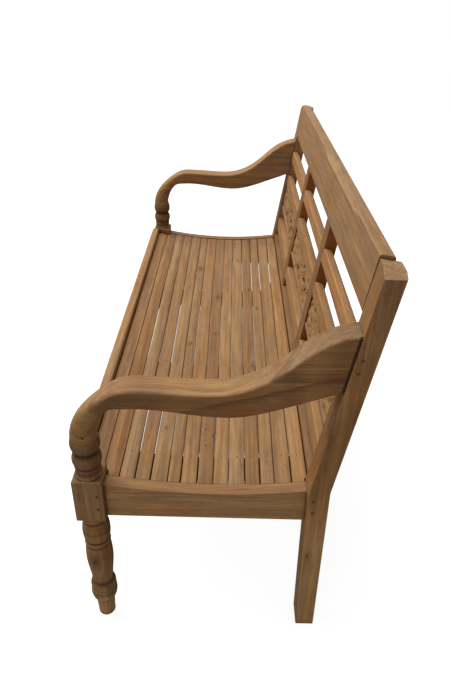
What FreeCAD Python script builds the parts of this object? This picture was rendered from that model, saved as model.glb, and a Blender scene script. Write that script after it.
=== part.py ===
import FreeCAD, Part
import math
import os

# Teak bench, two seats wide, with turned front legs, scrolled arms and an openwork back.
# Millimetres. X runs along the bench (+X is the sitter's left), Y from front to back, Z up.
# While modelling, y = 0 is the front face of the front leg blocks; every piece is moved
# at the end so that the origin is the centre of the footprint on the ground.

V = FreeCAD.Vector

# Overall size
LENGTH = 1300.0
LEG_BLOCK = 54.0
BLOCK_BOTTOM = 303.0
BLOCK_TOP = 404.0
TURNING_R = LEG_BLOCK / 2.0

# Shared joinery
TENON_FIT = 0.2
MORTISE_EXTRA = 1.0
PEG_R = 3.0
PEG_CLEAR = 0.3
PEG_RECESS = 1.0
PEG_LENGTH = LEG_BLOCK - 22.0
EASE = 2.0

# Back posts, side profile (y, z)
POST_WIDTH = 50.0
POST_FOOT_FRONT = 435.0
POST_FOOT_BACK = 472.5
POST_KNEE_FRONT = (426.5, 378.0)
POST_KNEE_BACK = (466.5, 390.0)
POST_TOP_FRONT = (496.2, 830.0)
POST_TOP_DEPTH = 34.0
POST_TOP_BEVEL_DROP = 12.0
POST_TOP_BEVEL_WIDTH = 30.0

# Seat frame
RAIL_BOTTOM = 305.0
FRONT_RAIL_Y = -6.0
FRONT_RAIL_T = 22.0
FRONT_RAIL_TOP = 406.0
FRONT_RAIL_ROUND = 6.0
END_RAIL_T = 25.0
END_RAIL_SETBACK = 15.0
END_RAIL_LIP = 1.5
END_TENON_T = 12.0
END_TENON_LENGTH = LEG_BLOCK * 4.0 / 9.0
END_TENON_BASE = 15.0
END_TENON_SHOULDER = 5.0
FRONT_TENON_T = 10.0
FRONT_TENON_LENGTH = LEG_BLOCK / 3.0
FRONT_TENON_H = 66.0
BACK_RAIL_FRONT = 431.5
BACK_RAIL_T = 29.0
BACK_RAIL_TOP = 397.0
BACK_TENON_T = 12.0
BACK_TENON_LENGTH = 14.0
BACK_TENON_H = 60.0

# Dished slatted seat: the slat tops rise by DISH_RISE at DISH_REACH from their lowest line
DISH_LOW = 366.0
DISH_Y = 255.0
DISH_RISE = 23.3
DISH_REACH = 233.0
SLAT_T = 15.0
SLAT_GAP = 2.0
SLAT_END_GAP = 1.0
SLAT_EASE = 1.2
SLAT_SHARES = [29.7, 30.8, 28.5, 29.5, 31.0, 24.5, 31.5, 30.0, 29.0, 31.0, 29.0, 26.5, 31.5, 30.5]
BEARER_T = 28.0
BEARER_BOTTOM = 316.0
END_BEARER_INSET = 116.0
BEARER_TENON_T = 12.0
BEARER_TENON_H = 18.0
BEARER_TENON_LENGTH = 10.0
PIN_R = 1.6
PIN_LENGTH = 26.0
PIN_RECESS = 0.6

# Back frame: a raked plane through (BACK_Y, BACK_Z); n points back from it, s runs up it
RAKE_DEG = 8.0
BACK_Y = 434.2
BACK_Z = 400.0
BACK_T = 26.0
DIVIDER_SHARE = 0.3417
DIVIDER_W = 47.0
DIVIDER_TENON_T = 12.0
DIVIDER_TENON_W = 34.0
DIVIDER_TENON_LENGTH = 15.0
CREST_S = (342.5, 440.3)
CREST_TENON_T = 12.0
CREST_TENON_H = 70.0
CREST_TENON_LENGTH = 20.0
CREST_EASE = 4.0
CREST_BEVEL_DROP = 10.0
CREST_BEVEL_DEPTH = 8.0
CREST_BEVEL_SHARES = (-0.10, 0.04, 0.625, 0.76)
RAIL_T = 21.5
RAIL_LOWER_T = 25.0
RAIL_UPPER_S = (261.5, 292.5)
RAIL_MIDDLE_S = (183.8, 213.0)
RAIL_LOWER_S = (26.3, 60.6)
RAIL_ROUND_FRONT = 4.0
RAIL_ROUND_BACK = 12.0
RAIL_TENON_T = 10.0
RAIL_TENON_LENGTH = 12.0
RAIL_TENON_SHOULDER = 5.0

# Carved panels between the middle and lower back rails
PANEL_S = (102.0, 183.8)
PANEL_SETBACK = 4.0
PANEL_GROUND_T = 9.0
PANEL_RELIEF = 3.0
PANEL_BORDER = 7.0
PANEL_TONGUE = 6.0
PANEL_TONGUE_T = 7.0
PETAL_COUNT = 8

# Carving on each side of the flower: place along the half panel, then height above the
# middle, length and width as shares of the panel height, and the angle
LEAVES = [
    (0.30, 0.11, 0.76, 0.24, 24.0),
    (0.34, -0.17, 0.71, 0.21, -20.0),
    (0.56, -0.10, 0.80, 0.23, 28.0),
    (0.62, 0.20, 0.66, 0.20, -16.0),
    (0.80, 0.07, 0.61, 0.22, 30.0),
    (0.84, -0.22, 0.54, 0.17, -12.0),
]
PIERCINGS = [
    (0.21, -0.24, 0.29, 0.10, -38.0),
    (0.23, 0.24, 0.22, 0.09, 40.0),
    (0.45, 0.02, 0.32, 0.11, 20.0),
    (0.47, -0.29, 0.17, 0.07, -10.0),
    (0.70, -0.05, 0.24, 0.10, 34.0),
    (0.72, 0.31, 0.16, 0.06, 0.0),
]
PETAL = (0.21, 0.32, 0.16)
FLOWER_CENTRE = 0.085
LEAF_BELLY = 0.05

# Turned profiles: (radius, height) as shares of the full radius and of the turned length.
# The lower one runs down from the block to the floor, the upper one up from the block.
LOWER_TURNING = [
    ("start", (0.0, 1.0)),
    ("line", (0.900, 1.0)),
    ("arc", (0.935, 0.975), (0.893, 0.950)),
    ("line", (0.837, 0.944)),
    ("line", (0.837, 0.934)),
    ("line", (0.889, 0.925)),
    ("arc", (1.0, 0.845), (0.911, 0.777)),
    ("line", (0.815, 0.773)),
    ("line", (0.815, 0.765)),
    ("line", (0.885, 0.760)),
    ("arc", (0.948, 0.747), (0.893, 0.732)),
    ("line", (0.863, 0.729)),
    ("line", (0.863, 0.724)),
    ("line", (0.911, 0.715)),
    ("curve", [(0.948, 0.686), (0.985, 0.627), (0.978, 0.568), (0.926, 0.510),
               (0.852, 0.452), (0.804, 0.406), (0.793, 0.366)]),
    ("line", (0.763, 0.361)),
    ("line", (0.763, 0.355)),
    ("line", (0.856, 0.348)),
    ("arc", (0.950, 0.322), (0.941, 0.296)),
    ("line", (0.881, 0.292)),
    ("line", (0.881, 0.285)),
    ("line", (0.944, 0.280)),
    ("arc", (0.985, 0.228), (0.837, 0.176)),
    ("line", (0.689, 0.171)),
    ("line", (0.689, 0.163)),
    ("line", (0.704, 0.151)),
    ("line", (0.641, 0.014)),
    ("arc", (0.628, 0.004), (0.593, 0.0)),
    ("line", (0.0, 0.0)),
]
UPPER_TURNING = [
    ("start", (0.0, 0.0)),
    ("line", (0.926, 0.0)),
    ("line", (0.926, 0.035)),
    ("line", (0.893, 0.050)),
    ("curve", [(0.874, 0.090), (0.867, 0.145), (0.873, 0.200), (0.896, 0.244)]),
    ("line", (0.822, 0.262)),
    ("line", (0.822, 0.285)),
    ("line", (0.889, 0.302)),
    ("arc", (0.996, 0.430), (0.893, 0.570)),
    ("line", (0.841, 0.590)),
    ("line", (0.830, 0.640)),
    ("line", (0.841, 0.680)),
    ("line", (0.904, 0.700)),
    ("arc", (1.0, 0.845), (0.919, 0.985)),
    ("line", (0.911, 1.0)),
    ("line", (0.0, 1.0)),
]

# Arms: points (y, z) on the top or front and on the underside, edge rounding, width
ARM_WIDTH = 50.0
ARM_SEAT_Z = 490.0
ARM_SECTIONS = [
    ((3.0, 490.0), (51.0, 490.0), 23.6, 48.0),
    ((4.6, 508.5), (50.6, 507.5), 22.6, 46.0),
    ((13.0, 531.5), (55.5, 524.0), 21.2, 45.0),
    ((27.0, 552.5), (62.5, 540.0), 18.0, 45.5),
    ((46.0, 572.0), (72.0, 553.5), 15.0, 46.5),
    ((69.0, 589.5), (83.5, 563.0), 11.0, 48.0),
    ((95.0, 602.5), (99.0, 567.0), 7.0, ARM_WIDTH),
    ((132.0, 606.5), (132.0, 569.0), 5.0, ARM_WIDTH),
    ((190.0, 604.5), (188.0, 564.0), 5.0, ARM_WIDTH),
    ((245.0, 603.0), (243.0, 557.0), 5.0, ARM_WIDTH),
    ((284.0, 607.5), (288.0, 556.5), 5.0, ARM_WIDTH),
    ((318.0, 620.0), (330.0, 565.0), 5.0, ARM_WIDTH),
    ((351.0, 640.0), (369.0, 578.0), 5.0, ARM_WIDTH),
    ((386.0, 670.0), (403.0, 591.0), 5.0, ARM_WIDTH),
    ((420.0, 698.0), (430.0, 601.0), 5.0, ARM_WIDTH),
    ((450.0, 713.5), (447.0, 607.5), 5.0, ARM_WIDTH),
]
ARM_END_Z = (614.0, 721.5)
ARM_END_ROUND = 5.0
ARM_TENON_T = 14.0
ARM_TENON_Z = (642.0, 694.0)
ARM_TENON_LENGTH = 22.0
LEG_TENON_R = 12.0
LEG_TENON_LENGTH = 38.0

# Peg centres on the outer side of each end (y, z)
BLOCK_PEGS = [(LEG_BLOCK - 10.0, 369.0), (LEG_BLOCK - 10.5, 336.0)]
POST_RAIL_PEGS = [(437.0, 370.0), (438.5, 340.0)]
ARM_POST_PEGS = [(484.0, 679.0), (480.0, 655.0)]
ARM_LEG_PEG = (31.0, 504.0)

# Values worked out from the sizes above
HALF = LENGTH / 2.0
BLOCK_INNER_X = HALF - LEG_BLOCK
LEG_X = HALF - LEG_BLOCK / 2.0
LEG_Y = LEG_BLOCK / 2.0
FRONT_RAIL_BACK = FRONT_RAIL_Y + FRONT_RAIL_T
POST_INNER_X = HALF - POST_WIDTH
END_RAIL_OUTER_X = HALF - END_RAIL_SETBACK
END_RAIL_INNER_X = END_RAIL_OUTER_X - END_RAIL_T
END_RAIL_MID_X = END_RAIL_OUTER_X - END_RAIL_T / 2.0
END_BEARER_X = HALF - END_BEARER_INSET
DIVIDER_X = POST_INNER_X * DIVIDER_SHARE
CREST_BEVEL_X = [POST_INNER_X * share for share in CREST_BEVEL_SHARES]
LEG_TENON_TOP = ARM_SEAT_Z + LEG_TENON_LENGTH
POST_LEAN = math.atan2(POST_TOP_FRONT[0] - POST_KNEE_FRONT[0], POST_TOP_FRONT[1] - POST_KNEE_FRONT[1])
POST_TOP_BACK = (
    POST_TOP_FRONT[0] + POST_TOP_DEPTH * math.cos(POST_LEAN),
    POST_TOP_FRONT[1] - POST_TOP_DEPTH * math.sin(POST_LEAN),
)
FRONT_REACH = min(LEG_Y - TURNING_R, FRONT_RAIL_Y)
BACK_REACH = POST_TOP_BACK[0]
SHIFT_Y = -(FRONT_REACH + BACK_REACH) / 2.0


def box(x0, x1, y0, y1, z0, z1):
    """A block between two opposite corners."""
    return Part.makeBox(x1 - x0, y1 - y0, z1 - z0, V(x0, y0, z0))


def prism(points, x0, x1):
    """A side profile, a list of (y, z), carried from x0 to x1."""
    corners = [V(x0, y, z) for y, z in points]
    wire = Part.makePolygon(corners + [corners[0]])
    return Part.Face(wire).extrude(V(x1 - x0, 0, 0))


def cylinder_x(x0, x1, y, z, radius):
    """A round bar along X."""
    return Part.makeCylinder(radius, x1 - x0, V(x0, y, z), V(1, 0, 0))


def rounded_section(x, a0, a1, b0, b1, rounds):
    """A rectangle in the plane x with its four corners rounded.

    The corners come in the order low-low, high-low, high-high, low-high of (a, b) = (y, z).
    """
    corners = [(a0, b0), (a1, b0), (a1, b1), (a0, b1)]
    ways = [((0, 1), (1, 0)), ((-1, 0), (0, 1)), ((0, -1), (-1, 0)), ((1, 0), (0, -1))]
    edges = []
    ends = []
    for (a, b), ((ia, ib), (oa, ob)), r in zip(corners, ways, rounds):
        start = V(x, a + ia * r, b + ib * r)
        end = V(x, a + oa * r, b + ob * r)
        bend = r * (1.0 - math.sqrt(0.5))
        middle = V(x, a + (ia + oa) * bend, b + (ib + ob) * bend)
        edges.append(Part.Arc(start, middle, end).toShape())
        ends.append((start, end))
    wire_edges = []
    for i in range(4):
        wire_edges.append(edges[i])
        here = ends[i][1]
        following = ends[(i + 1) % 4][0]
        wire_edges.append(Part.makeLine(here, following))
    return Part.Wire(wire_edges)


def rounded_bar(x0, x1, a0, a1, b0, b1, rounds):
    """A bar along X with rounded corners."""
    face = Part.Face(rounded_section(x0, a0, a1, b0, b1, rounds))
    return face.extrude(V(x1 - x0, 0, 0))


def to_back_plane(shape):
    """Tip a shape built as (x, n, s) into the raked plane of the back frame."""
    placed = shape.copy()
    placed.rotate(V(0, 0, 0), V(1, 0, 0), -RAKE_DEG)
    placed.translate(V(0, BACK_Y, BACK_Z))
    return placed


def mirrored(shape):
    """The same piece for the other end of the bench."""
    return shape.mirror(V(0, 0, 0), V(1, 0, 0))


def post_front_y(z):
    """Front face of the raked part of a back post."""
    return POST_KNEE_FRONT[0] + (z - POST_KNEE_FRONT[1]) * math.tan(POST_LEAN)


def post_lower_front_y(z):
    """Front face of a back post below its knee."""
    share = z / POST_KNEE_FRONT[1]
    return POST_FOOT_FRONT + (POST_KNEE_FRONT[0] - POST_FOOT_FRONT) * share


def seat_z(y):
    """Height of the slat tops."""
    return DISH_LOW + DISH_RISE * ((y - DISH_Y) / DISH_REACH) ** 2


def seat_joints():
    """Positions of the joints between slats, front rail to back rail."""
    start = FRONT_RAIL_BACK
    span = BACK_RAIL_FRONT - start
    total = sum(SLAT_SHARES)
    joints = [start]
    for share in SLAT_SHARES:
        joints.append(joints[-1] + span * share / total)
    return joints


def arm_tenon_profile(grow, depth):
    """Side profile of the tenon from the arm into the post."""
    low, high = ARM_TENON_Z
    low -= grow
    high += grow
    reach_y = depth * math.cos(POST_LEAN)
    reach_z = depth * math.sin(POST_LEAN)
    return [
        (post_front_y(low), low),
        (post_front_y(high), high),
        (post_front_y(high) + reach_y, high - reach_z),
        (post_front_y(low) + reach_y, low - reach_z),
    ]


def end_rail_tenon_z(y):
    """Height range of the tenon at one end of the end rail, whose top there is at y."""
    return RAIL_BOTTOM + END_TENON_BASE, seat_z(y) + END_RAIL_LIP - END_TENON_SHOULDER


def front_rail_tenon(grow, deeper):
    """Tenon of the front rail into the left leg block."""
    middle_y = FRONT_RAIL_BACK - FRONT_TENON_T / 2.0
    middle_z = (RAIL_BOTTOM + FRONT_RAIL_TOP) / 2.0
    half_t = FRONT_TENON_T / 2.0 + grow
    half_h = FRONT_TENON_H / 2.0 + grow
    start = BLOCK_INNER_X
    return box(start, start + FRONT_TENON_LENGTH + deeper,
               middle_y - half_t, middle_y + half_t, middle_z - half_h, middle_z + half_h)


def end_rail_front_tenon(grow, deeper):
    """Tenon of the left end rail forward into the leg block."""
    low, high = end_rail_tenon_z(LEG_BLOCK)
    half_t = END_TENON_T / 2.0 + grow
    return box(END_RAIL_MID_X - half_t, END_RAIL_MID_X + half_t,
               LEG_BLOCK - END_TENON_LENGTH - deeper, LEG_BLOCK, low - grow, high + grow)


def end_rail_back_tenon(grow, deeper):
    """Tenon of the left end rail back into the post, from the slightly leaning face."""
    low, high = end_rail_tenon_z(POST_KNEE_FRONT[0])
    low -= grow
    high += grow
    half_t = END_TENON_T / 2.0 + grow
    reach = END_TENON_LENGTH + deeper
    profile = [
        (post_lower_front_y(low), low),
        (post_lower_front_y(low) + reach, low),
        (post_lower_front_y(low) + reach, high),
        (post_lower_front_y(high), high),
    ]
    return prism(profile, END_RAIL_MID_X - half_t, END_RAIL_MID_X + half_t)


def back_rail_tenon(grow, deeper):
    """Tenon of the back seat rail into the left post."""
    middle_y = BACK_RAIL_FRONT + BACK_RAIL_T / 2.0
    middle_z = (RAIL_BOTTOM + BACK_RAIL_TOP) / 2.0
    half_t = BACK_TENON_T / 2.0 + grow
    half_h = BACK_TENON_H / 2.0 + grow
    return box(POST_INNER_X, POST_INNER_X + BACK_TENON_LENGTH + deeper,
               middle_y - half_t, middle_y + half_t, middle_z - half_h, middle_z + half_h)


def crest_tenon(grow, deeper):
    """Tenon of the crest rail into the left post."""
    middle_s = sum(CREST_S) / 2.0
    half_t = CREST_TENON_T / 2.0 + grow
    half_h = CREST_TENON_H / 2.0 + grow
    middle_n = BACK_T / 2.0
    tenon = box(POST_INNER_X, POST_INNER_X + CREST_TENON_LENGTH + deeper,
                middle_n - half_t, middle_n + half_t, middle_s - half_h, middle_s + half_h)
    return to_back_plane(tenon)


def rail_tenon(x_face, way, s_range, grow, deeper):
    """Tenon of one slim back rail; way is +1 or -1 along X from the face it enters."""
    half_t = RAIL_TENON_T / 2.0 + grow
    middle_n = RAIL_T / 2.0
    reach = x_face + way * (RAIL_TENON_LENGTH + deeper)
    tenon = box(min(x_face, reach), max(x_face, reach), middle_n - half_t, middle_n + half_t,
                s_range[0] + RAIL_TENON_SHOULDER - grow, s_range[1] - RAIL_TENON_SHOULDER + grow)
    return to_back_plane(tenon)


def panel_tongue(x_face, way, grow, deeper):
    """End tongue of a carved panel, housed in a stopped groove."""
    middle_n = PANEL_SETBACK + PANEL_GROUND_T / 2.0
    half_t = PANEL_TONGUE_T / 2.0 + grow
    reach = x_face + way * (PANEL_TONGUE + deeper)
    tongue = box(min(x_face, reach), max(x_face, reach), middle_n - half_t, middle_n + half_t,
                 PANEL_S[0] - grow, PANEL_S[1] + grow)
    return to_back_plane(tongue)


def back_rail_ranges():
    """Heights of the three slim back rails by name."""
    return {"upper": RAIL_UPPER_S, "middle": RAIL_MIDDLE_S, "lower": RAIL_LOWER_S}


def housings(x_face, way):
    """Everything cut into a post or divider to take the slim rails and the panel."""
    cuts = [panel_tongue(x_face, way, TENON_FIT, MORTISE_EXTRA)]
    for s_range in back_rail_ranges().values():
        cuts.append(rail_tenon(x_face, way, s_range, TENON_FIT, MORTISE_EXTRA))
    return cuts


def turned_solid(profile, x, y, z_start, height):
    """Turn a profile of shares about a vertical axis.

    Each entry is ("line", point), ("arc", through, point) or ("curve", points) and
    starts where the one before it ended.
    """
    def at(point):
        return V(x + point[0] * TURNING_R, y, z_start + point[1] * height)

    here = profile[0][1]
    edges = []
    for entry in profile[1:]:
        if entry[0] == "line":
            edges.append(Part.makeLine(at(here), at(entry[1])))
            here = entry[1]
        elif entry[0] == "arc":
            edges.append(Part.Arc(at(here), at(entry[1]), at(entry[2])).toShape())
            here = entry[2]
        else:
            curve = Part.BSplineCurve()
            curve.interpolate([at(here)] + [at(p) for p in entry[1]])
            edges.append(curve.toShape())
            here = entry[1][-1]
    edges.append(Part.makeLine(at(here), at(profile[0][1])))
    face = Part.Face(Part.Wire(edges))
    return face.revolve(V(x, y, 0), V(0, 0, 1), 360)


def make_front_leg():
    """Left front leg: foot, square block and arm support in one turned piece."""
    block = box(BLOCK_INNER_X, HALF, 0.0, LEG_BLOCK, BLOCK_BOTTOM, BLOCK_TOP)
    outline = [e for e in block.Edges if abs(e.Vertexes[0].Z - e.Vertexes[1].Z) < EASE]
    block = block.makeChamfer(EASE, outline)
    below = turned_solid(LOWER_TURNING, LEG_X, LEG_Y, 0.0, BLOCK_BOTTOM)
    above = turned_solid(UPPER_TURNING, LEG_X, LEG_Y, BLOCK_TOP, ARM_SEAT_Z - BLOCK_TOP)
    tenon = Part.makeCylinder(LEG_TENON_R, LEG_TENON_LENGTH, V(LEG_X, LEG_Y, ARM_SEAT_Z))
    leg = block.fuse([below, above, tenon])
    cuts = [
        front_rail_tenon(TENON_FIT, MORTISE_EXTRA),
        end_rail_front_tenon(TENON_FIT, MORTISE_EXTRA),
    ]
    cuts += [peg_hole(y, z) for y, z in BLOCK_PEGS]
    cuts.append(peg_hole(*ARM_LEG_PEG, arm_peg_surface()))
    return leg.cut(cuts)


def peg_hole(y, z, surface_x=HALF):
    """Drilled hole for a peg, open on the outer side of the left end."""
    inner = surface_x - PEG_RECESS - PEG_LENGTH
    return cylinder_x(inner, HALF + PEG_RECESS, y, z, PEG_R + PEG_CLEAR)


def peg(y, z, surface_x=HALF):
    """One round peg, sunk slightly below the surface."""
    outer = surface_x - PEG_RECESS
    return cylinder_x(outer - PEG_LENGTH, outer, y, z, PEG_R)


def arm_peg_surface():
    """Outer side of the arm where it stands on the leg, narrower than the block."""
    return LEG_X + ARM_SECTIONS[1][3] / 2.0


def post_top_bevel():
    """Wedge that slopes the top of the left post down to its outer side."""
    top = POST_TOP_FRONT[1]
    slope = POST_TOP_BEVEL_DROP / POST_TOP_BEVEL_WIDTH
    start = HALF - POST_TOP_BEVEL_WIDTH
    beyond = HALF + EASE
    low = top - (beyond - start) * slope
    corners = [V(start, 0, top), V(beyond, 0, low), V(beyond, 0, top + EASE), V(start, 0, top + EASE)]
    outline = Part.makePolygon(corners + [corners[0]])
    return Part.Face(outline).extrude(V(0, BACK_REACH + EASE, 0))


def make_back_post():
    """Left back post and leg, sawn with a knee at seat height."""
    profile = [
        (POST_FOOT_FRONT, 0.0),
        (POST_FOOT_BACK, 0.0),
        POST_KNEE_BACK,
        POST_TOP_BACK,
        POST_TOP_FRONT,
        POST_KNEE_FRONT,
    ]
    post = prism(profile, POST_INNER_X, HALF)
    long_edges = [e for e in post.Edges if abs(e.Vertexes[0].Z - e.Vertexes[1].Z) > POST_WIDTH]
    post = post.makeFillet(EASE, long_edges)
    cuts = [
        post_top_bevel(),
        end_rail_back_tenon(TENON_FIT, MORTISE_EXTRA),
        back_rail_tenon(TENON_FIT, MORTISE_EXTRA),
        crest_tenon(TENON_FIT, MORTISE_EXTRA),
        prism(arm_tenon_profile(TENON_FIT, ARM_TENON_LENGTH + MORTISE_EXTRA),
              LEG_X - ARM_TENON_T / 2.0 - TENON_FIT, LEG_X + ARM_TENON_T / 2.0 + TENON_FIT),
    ]
    cuts += housings(POST_INNER_X, 1)
    cuts += [peg_hole(y, z) for y, z in POST_RAIL_PEGS + ARM_POST_PEGS]
    return post.cut(cuts)


def arm_section(top, bottom, rounding, width):
    """One cross-section of the arm: a rounded rectangle standing on the line bottom-top."""
    height = math.hypot(top[0] - bottom[0], top[1] - bottom[1])
    up = V(0, (top[0] - bottom[0]) / height, (top[1] - bottom[1]) / height)
    side = V(1, 0, 0)
    centre = V(LEG_X, (top[0] + bottom[0]) / 2.0, (top[1] + bottom[1]) / 2.0)
    half_w = width / 2.0
    half_h = height / 2.0
    r = min(rounding, half_h - 0.4, half_w - 0.4)
    bend = r * math.sqrt(0.5)

    def at(a, b):
        return centre + side * a + up * b

    edges = []
    for a, b in ((1, 1), (-1, 1), (-1, -1), (1, -1)):
        core = (a * (half_w - r), b * (half_h - r))
        on_side = at(a * half_w, core[1])
        on_end = at(core[0], b * half_h)
        middle = at(core[0] + a * bend, core[1] + b * bend)
        first, last = (on_side, on_end) if a * b > 0 else (on_end, on_side)
        edges.append((Part.Arc(first, middle, last).toShape(), first, last))
    wire = []
    for i in range(4):
        wire.append(edges[i][0])
        wire.append(Part.makeLine(edges[i][2], edges[(i + 1) % 4][1]))
    return Part.Wire(wire)


def make_arm():
    """Left arm: round where it stands on the leg, curving into a broad scrolled rest."""
    low, high = ARM_END_Z
    end = ((post_front_y(high), high), (post_front_y(low), low), ARM_END_ROUND, ARM_WIDTH)
    wires = [arm_section(*section) for section in ARM_SECTIONS + [end]]
    arm = Part.makeLoft(wires, True, False)
    tenon = prism(arm_tenon_profile(0.0, ARM_TENON_LENGTH),
                  LEG_X - ARM_TENON_T / 2.0, LEG_X + ARM_TENON_T / 2.0)
    arm = arm.fuse(tenon)
    socket = Part.makeCylinder(LEG_TENON_R + PEG_CLEAR, LEG_TENON_TOP - ARM_SEAT_Z + MORTISE_EXTRA,
                               V(LEG_X, LEG_Y, ARM_SEAT_Z))
    cuts = [socket] + [peg_hole(y, z) for y, z in ARM_POST_PEGS]
    cuts.append(peg_hole(*ARM_LEG_PEG, arm_peg_surface()))
    return arm.cut(cuts)


def make_front_rail():
    """Front seat rail with a rounded lip, tenoned into both leg blocks."""
    rounds = [EASE, EASE, FRONT_RAIL_ROUND - EASE, FRONT_RAIL_ROUND]
    rail = rounded_bar(-BLOCK_INNER_X, BLOCK_INNER_X, FRONT_RAIL_Y, FRONT_RAIL_BACK,
                       RAIL_BOTTOM, FRONT_RAIL_TOP, rounds)
    tenon = front_rail_tenon(0.0, 0.0)
    rail = rail.fuse([tenon, mirrored(tenon)])
    return rail.cut([bearer_tenons(x, TENON_FIT, MORTISE_EXTRA)[0] for x in bearer_positions()])


def make_end_rail():
    """Left end rail: its top follows the dish of the seat."""
    steps = 24
    z_bottom = RAIL_BOTTOM
    back_top = post_lower_front_y(seat_z(POST_KNEE_FRONT[0]))
    top = []
    for i in range(steps + 1):
        y = LEG_BLOCK + (back_top - LEG_BLOCK) * i / steps
        top.append(V(END_RAIL_INNER_X, y, seat_z(y) + END_RAIL_LIP))
    curve = Part.BSplineCurve()
    curve.interpolate(top)
    knee = V(END_RAIL_INNER_X, *POST_KNEE_FRONT)
    bottom_back = V(END_RAIL_INNER_X, post_lower_front_y(z_bottom), z_bottom)
    bottom_front = V(END_RAIL_INNER_X, LEG_BLOCK, z_bottom)
    edges = [curve.toShape()]
    if top[-1].z > knee.z:
        upper_end = V(END_RAIL_INNER_X, post_front_y(top[-1].z), top[-1].z)
        edges = [curve.toShape(), Part.makeLine(top[-1], upper_end)] if (
            upper_end - top[-1]).Length > 0.05 else [curve.toShape()]
        edges.append(Part.makeLine(edges[-1].Vertexes[-1].Point, knee))
        edges.append(Part.makeLine(knee, bottom_back))
    else:
        edges.append(Part.makeLine(top[-1], bottom_back))
    edges.append(Part.makeLine(bottom_back, bottom_front))
    edges.append(Part.makeLine(bottom_front, top[0]))
    rail = Part.Face(Part.Wire(edges)).extrude(V(END_RAIL_T, 0, 0))
    rail = rail.fuse([end_rail_front_tenon(0.0, 0.0), end_rail_back_tenon(0.0, 0.0)])
    return rail.cut([peg_hole(y, z) for y, z in BLOCK_PEGS + POST_RAIL_PEGS])


def bearer_positions():
    """The two inner bearers stand under the dividers, the outer ones near the ends."""
    return [-END_BEARER_X, -DIVIDER_X, DIVIDER_X, END_BEARER_X]


def bearer_tenons(x, grow, deeper):
    """Front and back stub tenons of one bearer."""
    half_t = BEARER_TENON_T / 2.0 + grow
    low = BEARER_BOTTOM + BEARER_TENON_H / 2.0 - grow
    high = BEARER_BOTTOM + 1.5 * BEARER_TENON_H + grow
    reach = BEARER_TENON_LENGTH + deeper
    front = box(x - half_t, x + half_t, FRONT_RAIL_BACK - reach, FRONT_RAIL_BACK, low, high)
    back = box(x - half_t, x + half_t, BACK_RAIL_FRONT, BACK_RAIL_FRONT + reach, low, high)
    return [front, back]


def slat_edges():
    """Front and back edge of every slat."""
    joints = seat_joints()
    half_gap = SLAT_GAP / 2.0
    return [(a + half_gap, b - half_gap) for a, b in zip(joints[:-1], joints[1:])]


def make_bearer(x):
    """One cross bearer: its top is cut in flats to the undersides of the slats."""
    edges = slat_edges()
    profile = [(FRONT_RAIL_BACK, BEARER_BOTTOM), (FRONT_RAIL_BACK, seat_z(edges[0][0]) - SLAT_T)]
    for y0, y1 in edges:
        profile.append((y0, seat_z(y0) - SLAT_T))
        profile.append((y1, seat_z(y1) - SLAT_T))
    profile.append((BACK_RAIL_FRONT, seat_z(edges[-1][1]) - SLAT_T))
    profile.append((BACK_RAIL_FRONT, BEARER_BOTTOM))
    bearer = prism(profile, x - BEARER_T / 2.0, x + BEARER_T / 2.0)
    bearer = bearer.fuse(bearer_tenons(x, 0.0, 0.0))
    return bearer.cut(pin_holes([x]))


def slat_notches():
    """Room left in the slats for the leg blocks in front and the posts behind."""
    gap = SLAT_END_GAP
    front = box(BLOCK_INNER_X - gap, HALF, 0.0, LEG_BLOCK + gap, RAIL_BOTTOM, BLOCK_TOP)
    back = box(POST_INNER_X - gap, HALF, POST_KNEE_FRONT[0] - gap, BACK_RAIL_FRONT,
               RAIL_BOTTOM, BLOCK_TOP)
    return [front, back, mirrored(front), mirrored(back)]


def make_slat(index):
    """One seat slat with eased top edges."""
    y0, y1 = slat_edges()[index]
    z0, z1 = seat_z(y0), seat_z(y1)
    e = SLAT_EASE
    slope = (z1 - z0) / (y1 - y0)
    profile = [
        (y0, z0 - SLAT_T),
        (y1, z1 - SLAT_T),
        (y1, z1 - e),
        (y1 - e, z1 - e * slope),
        (y0 + e, z0 + e * slope),
        (y0, z0 - e),
    ]
    reach = END_RAIL_INNER_X - SLAT_END_GAP
    slat = prism(profile, -reach, reach)
    middle = (y0 + y1) / 2.0
    cuts = [h for h in pin_holes(bearer_positions()) if abs(h.CenterOfMass.y - middle) < 5.0]
    cuts += [n for n in slat_notches() if n.common(slat).Volume > 0.01]
    return slat.cut(cuts)


def pin_places(xs):
    """Head centre of every slat pin over the given bearers."""
    places = []
    for x in xs:
        for y0, y1 in slat_edges():
            y = (y0 + y1) / 2.0
            places.append(V(x, y, (seat_z(y0) + seat_z(y1)) / 2.0))
    return places


def pin_holes(xs):
    """Holes for the slat pins."""
    return [
        Part.makeCylinder(PIN_R + PEG_CLEAR, PIN_LENGTH + PIN_RECESS + 5.0,
                          p - V(0, 0, PIN_LENGTH + PIN_RECESS))
        for p in pin_places(xs)
    ]


def make_slat_pins():
    """All slat pins, one solid each."""
    pins = [
        Part.makeCylinder(PIN_R, PIN_LENGTH, p - V(0, 0, PIN_LENGTH + PIN_RECESS))
        for p in pin_places(bearer_positions())
    ]
    return Part.makeCompound(pins)


def make_back_rail():
    """Back seat rail that carries the bearers and the dividers."""
    rounds = [EASE, EASE, EASE, EASE]
    rail = rounded_bar(-POST_INNER_X, POST_INNER_X, BACK_RAIL_FRONT, BACK_RAIL_FRONT + BACK_RAIL_T,
                       RAIL_BOTTOM, BACK_RAIL_TOP, rounds)
    tenon = back_rail_tenon(0.0, 0.0)
    rail = rail.fuse([tenon, mirrored(tenon)])
    cuts = [bearer_tenons(x, TENON_FIT, MORTISE_EXTRA)[1] for x in bearer_positions()]
    cuts += [divider_foot_tenon(x, TENON_FIT, MORTISE_EXTRA) for x in (-DIVIDER_X, DIVIDER_X)]
    return rail.cut(cuts)


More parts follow.
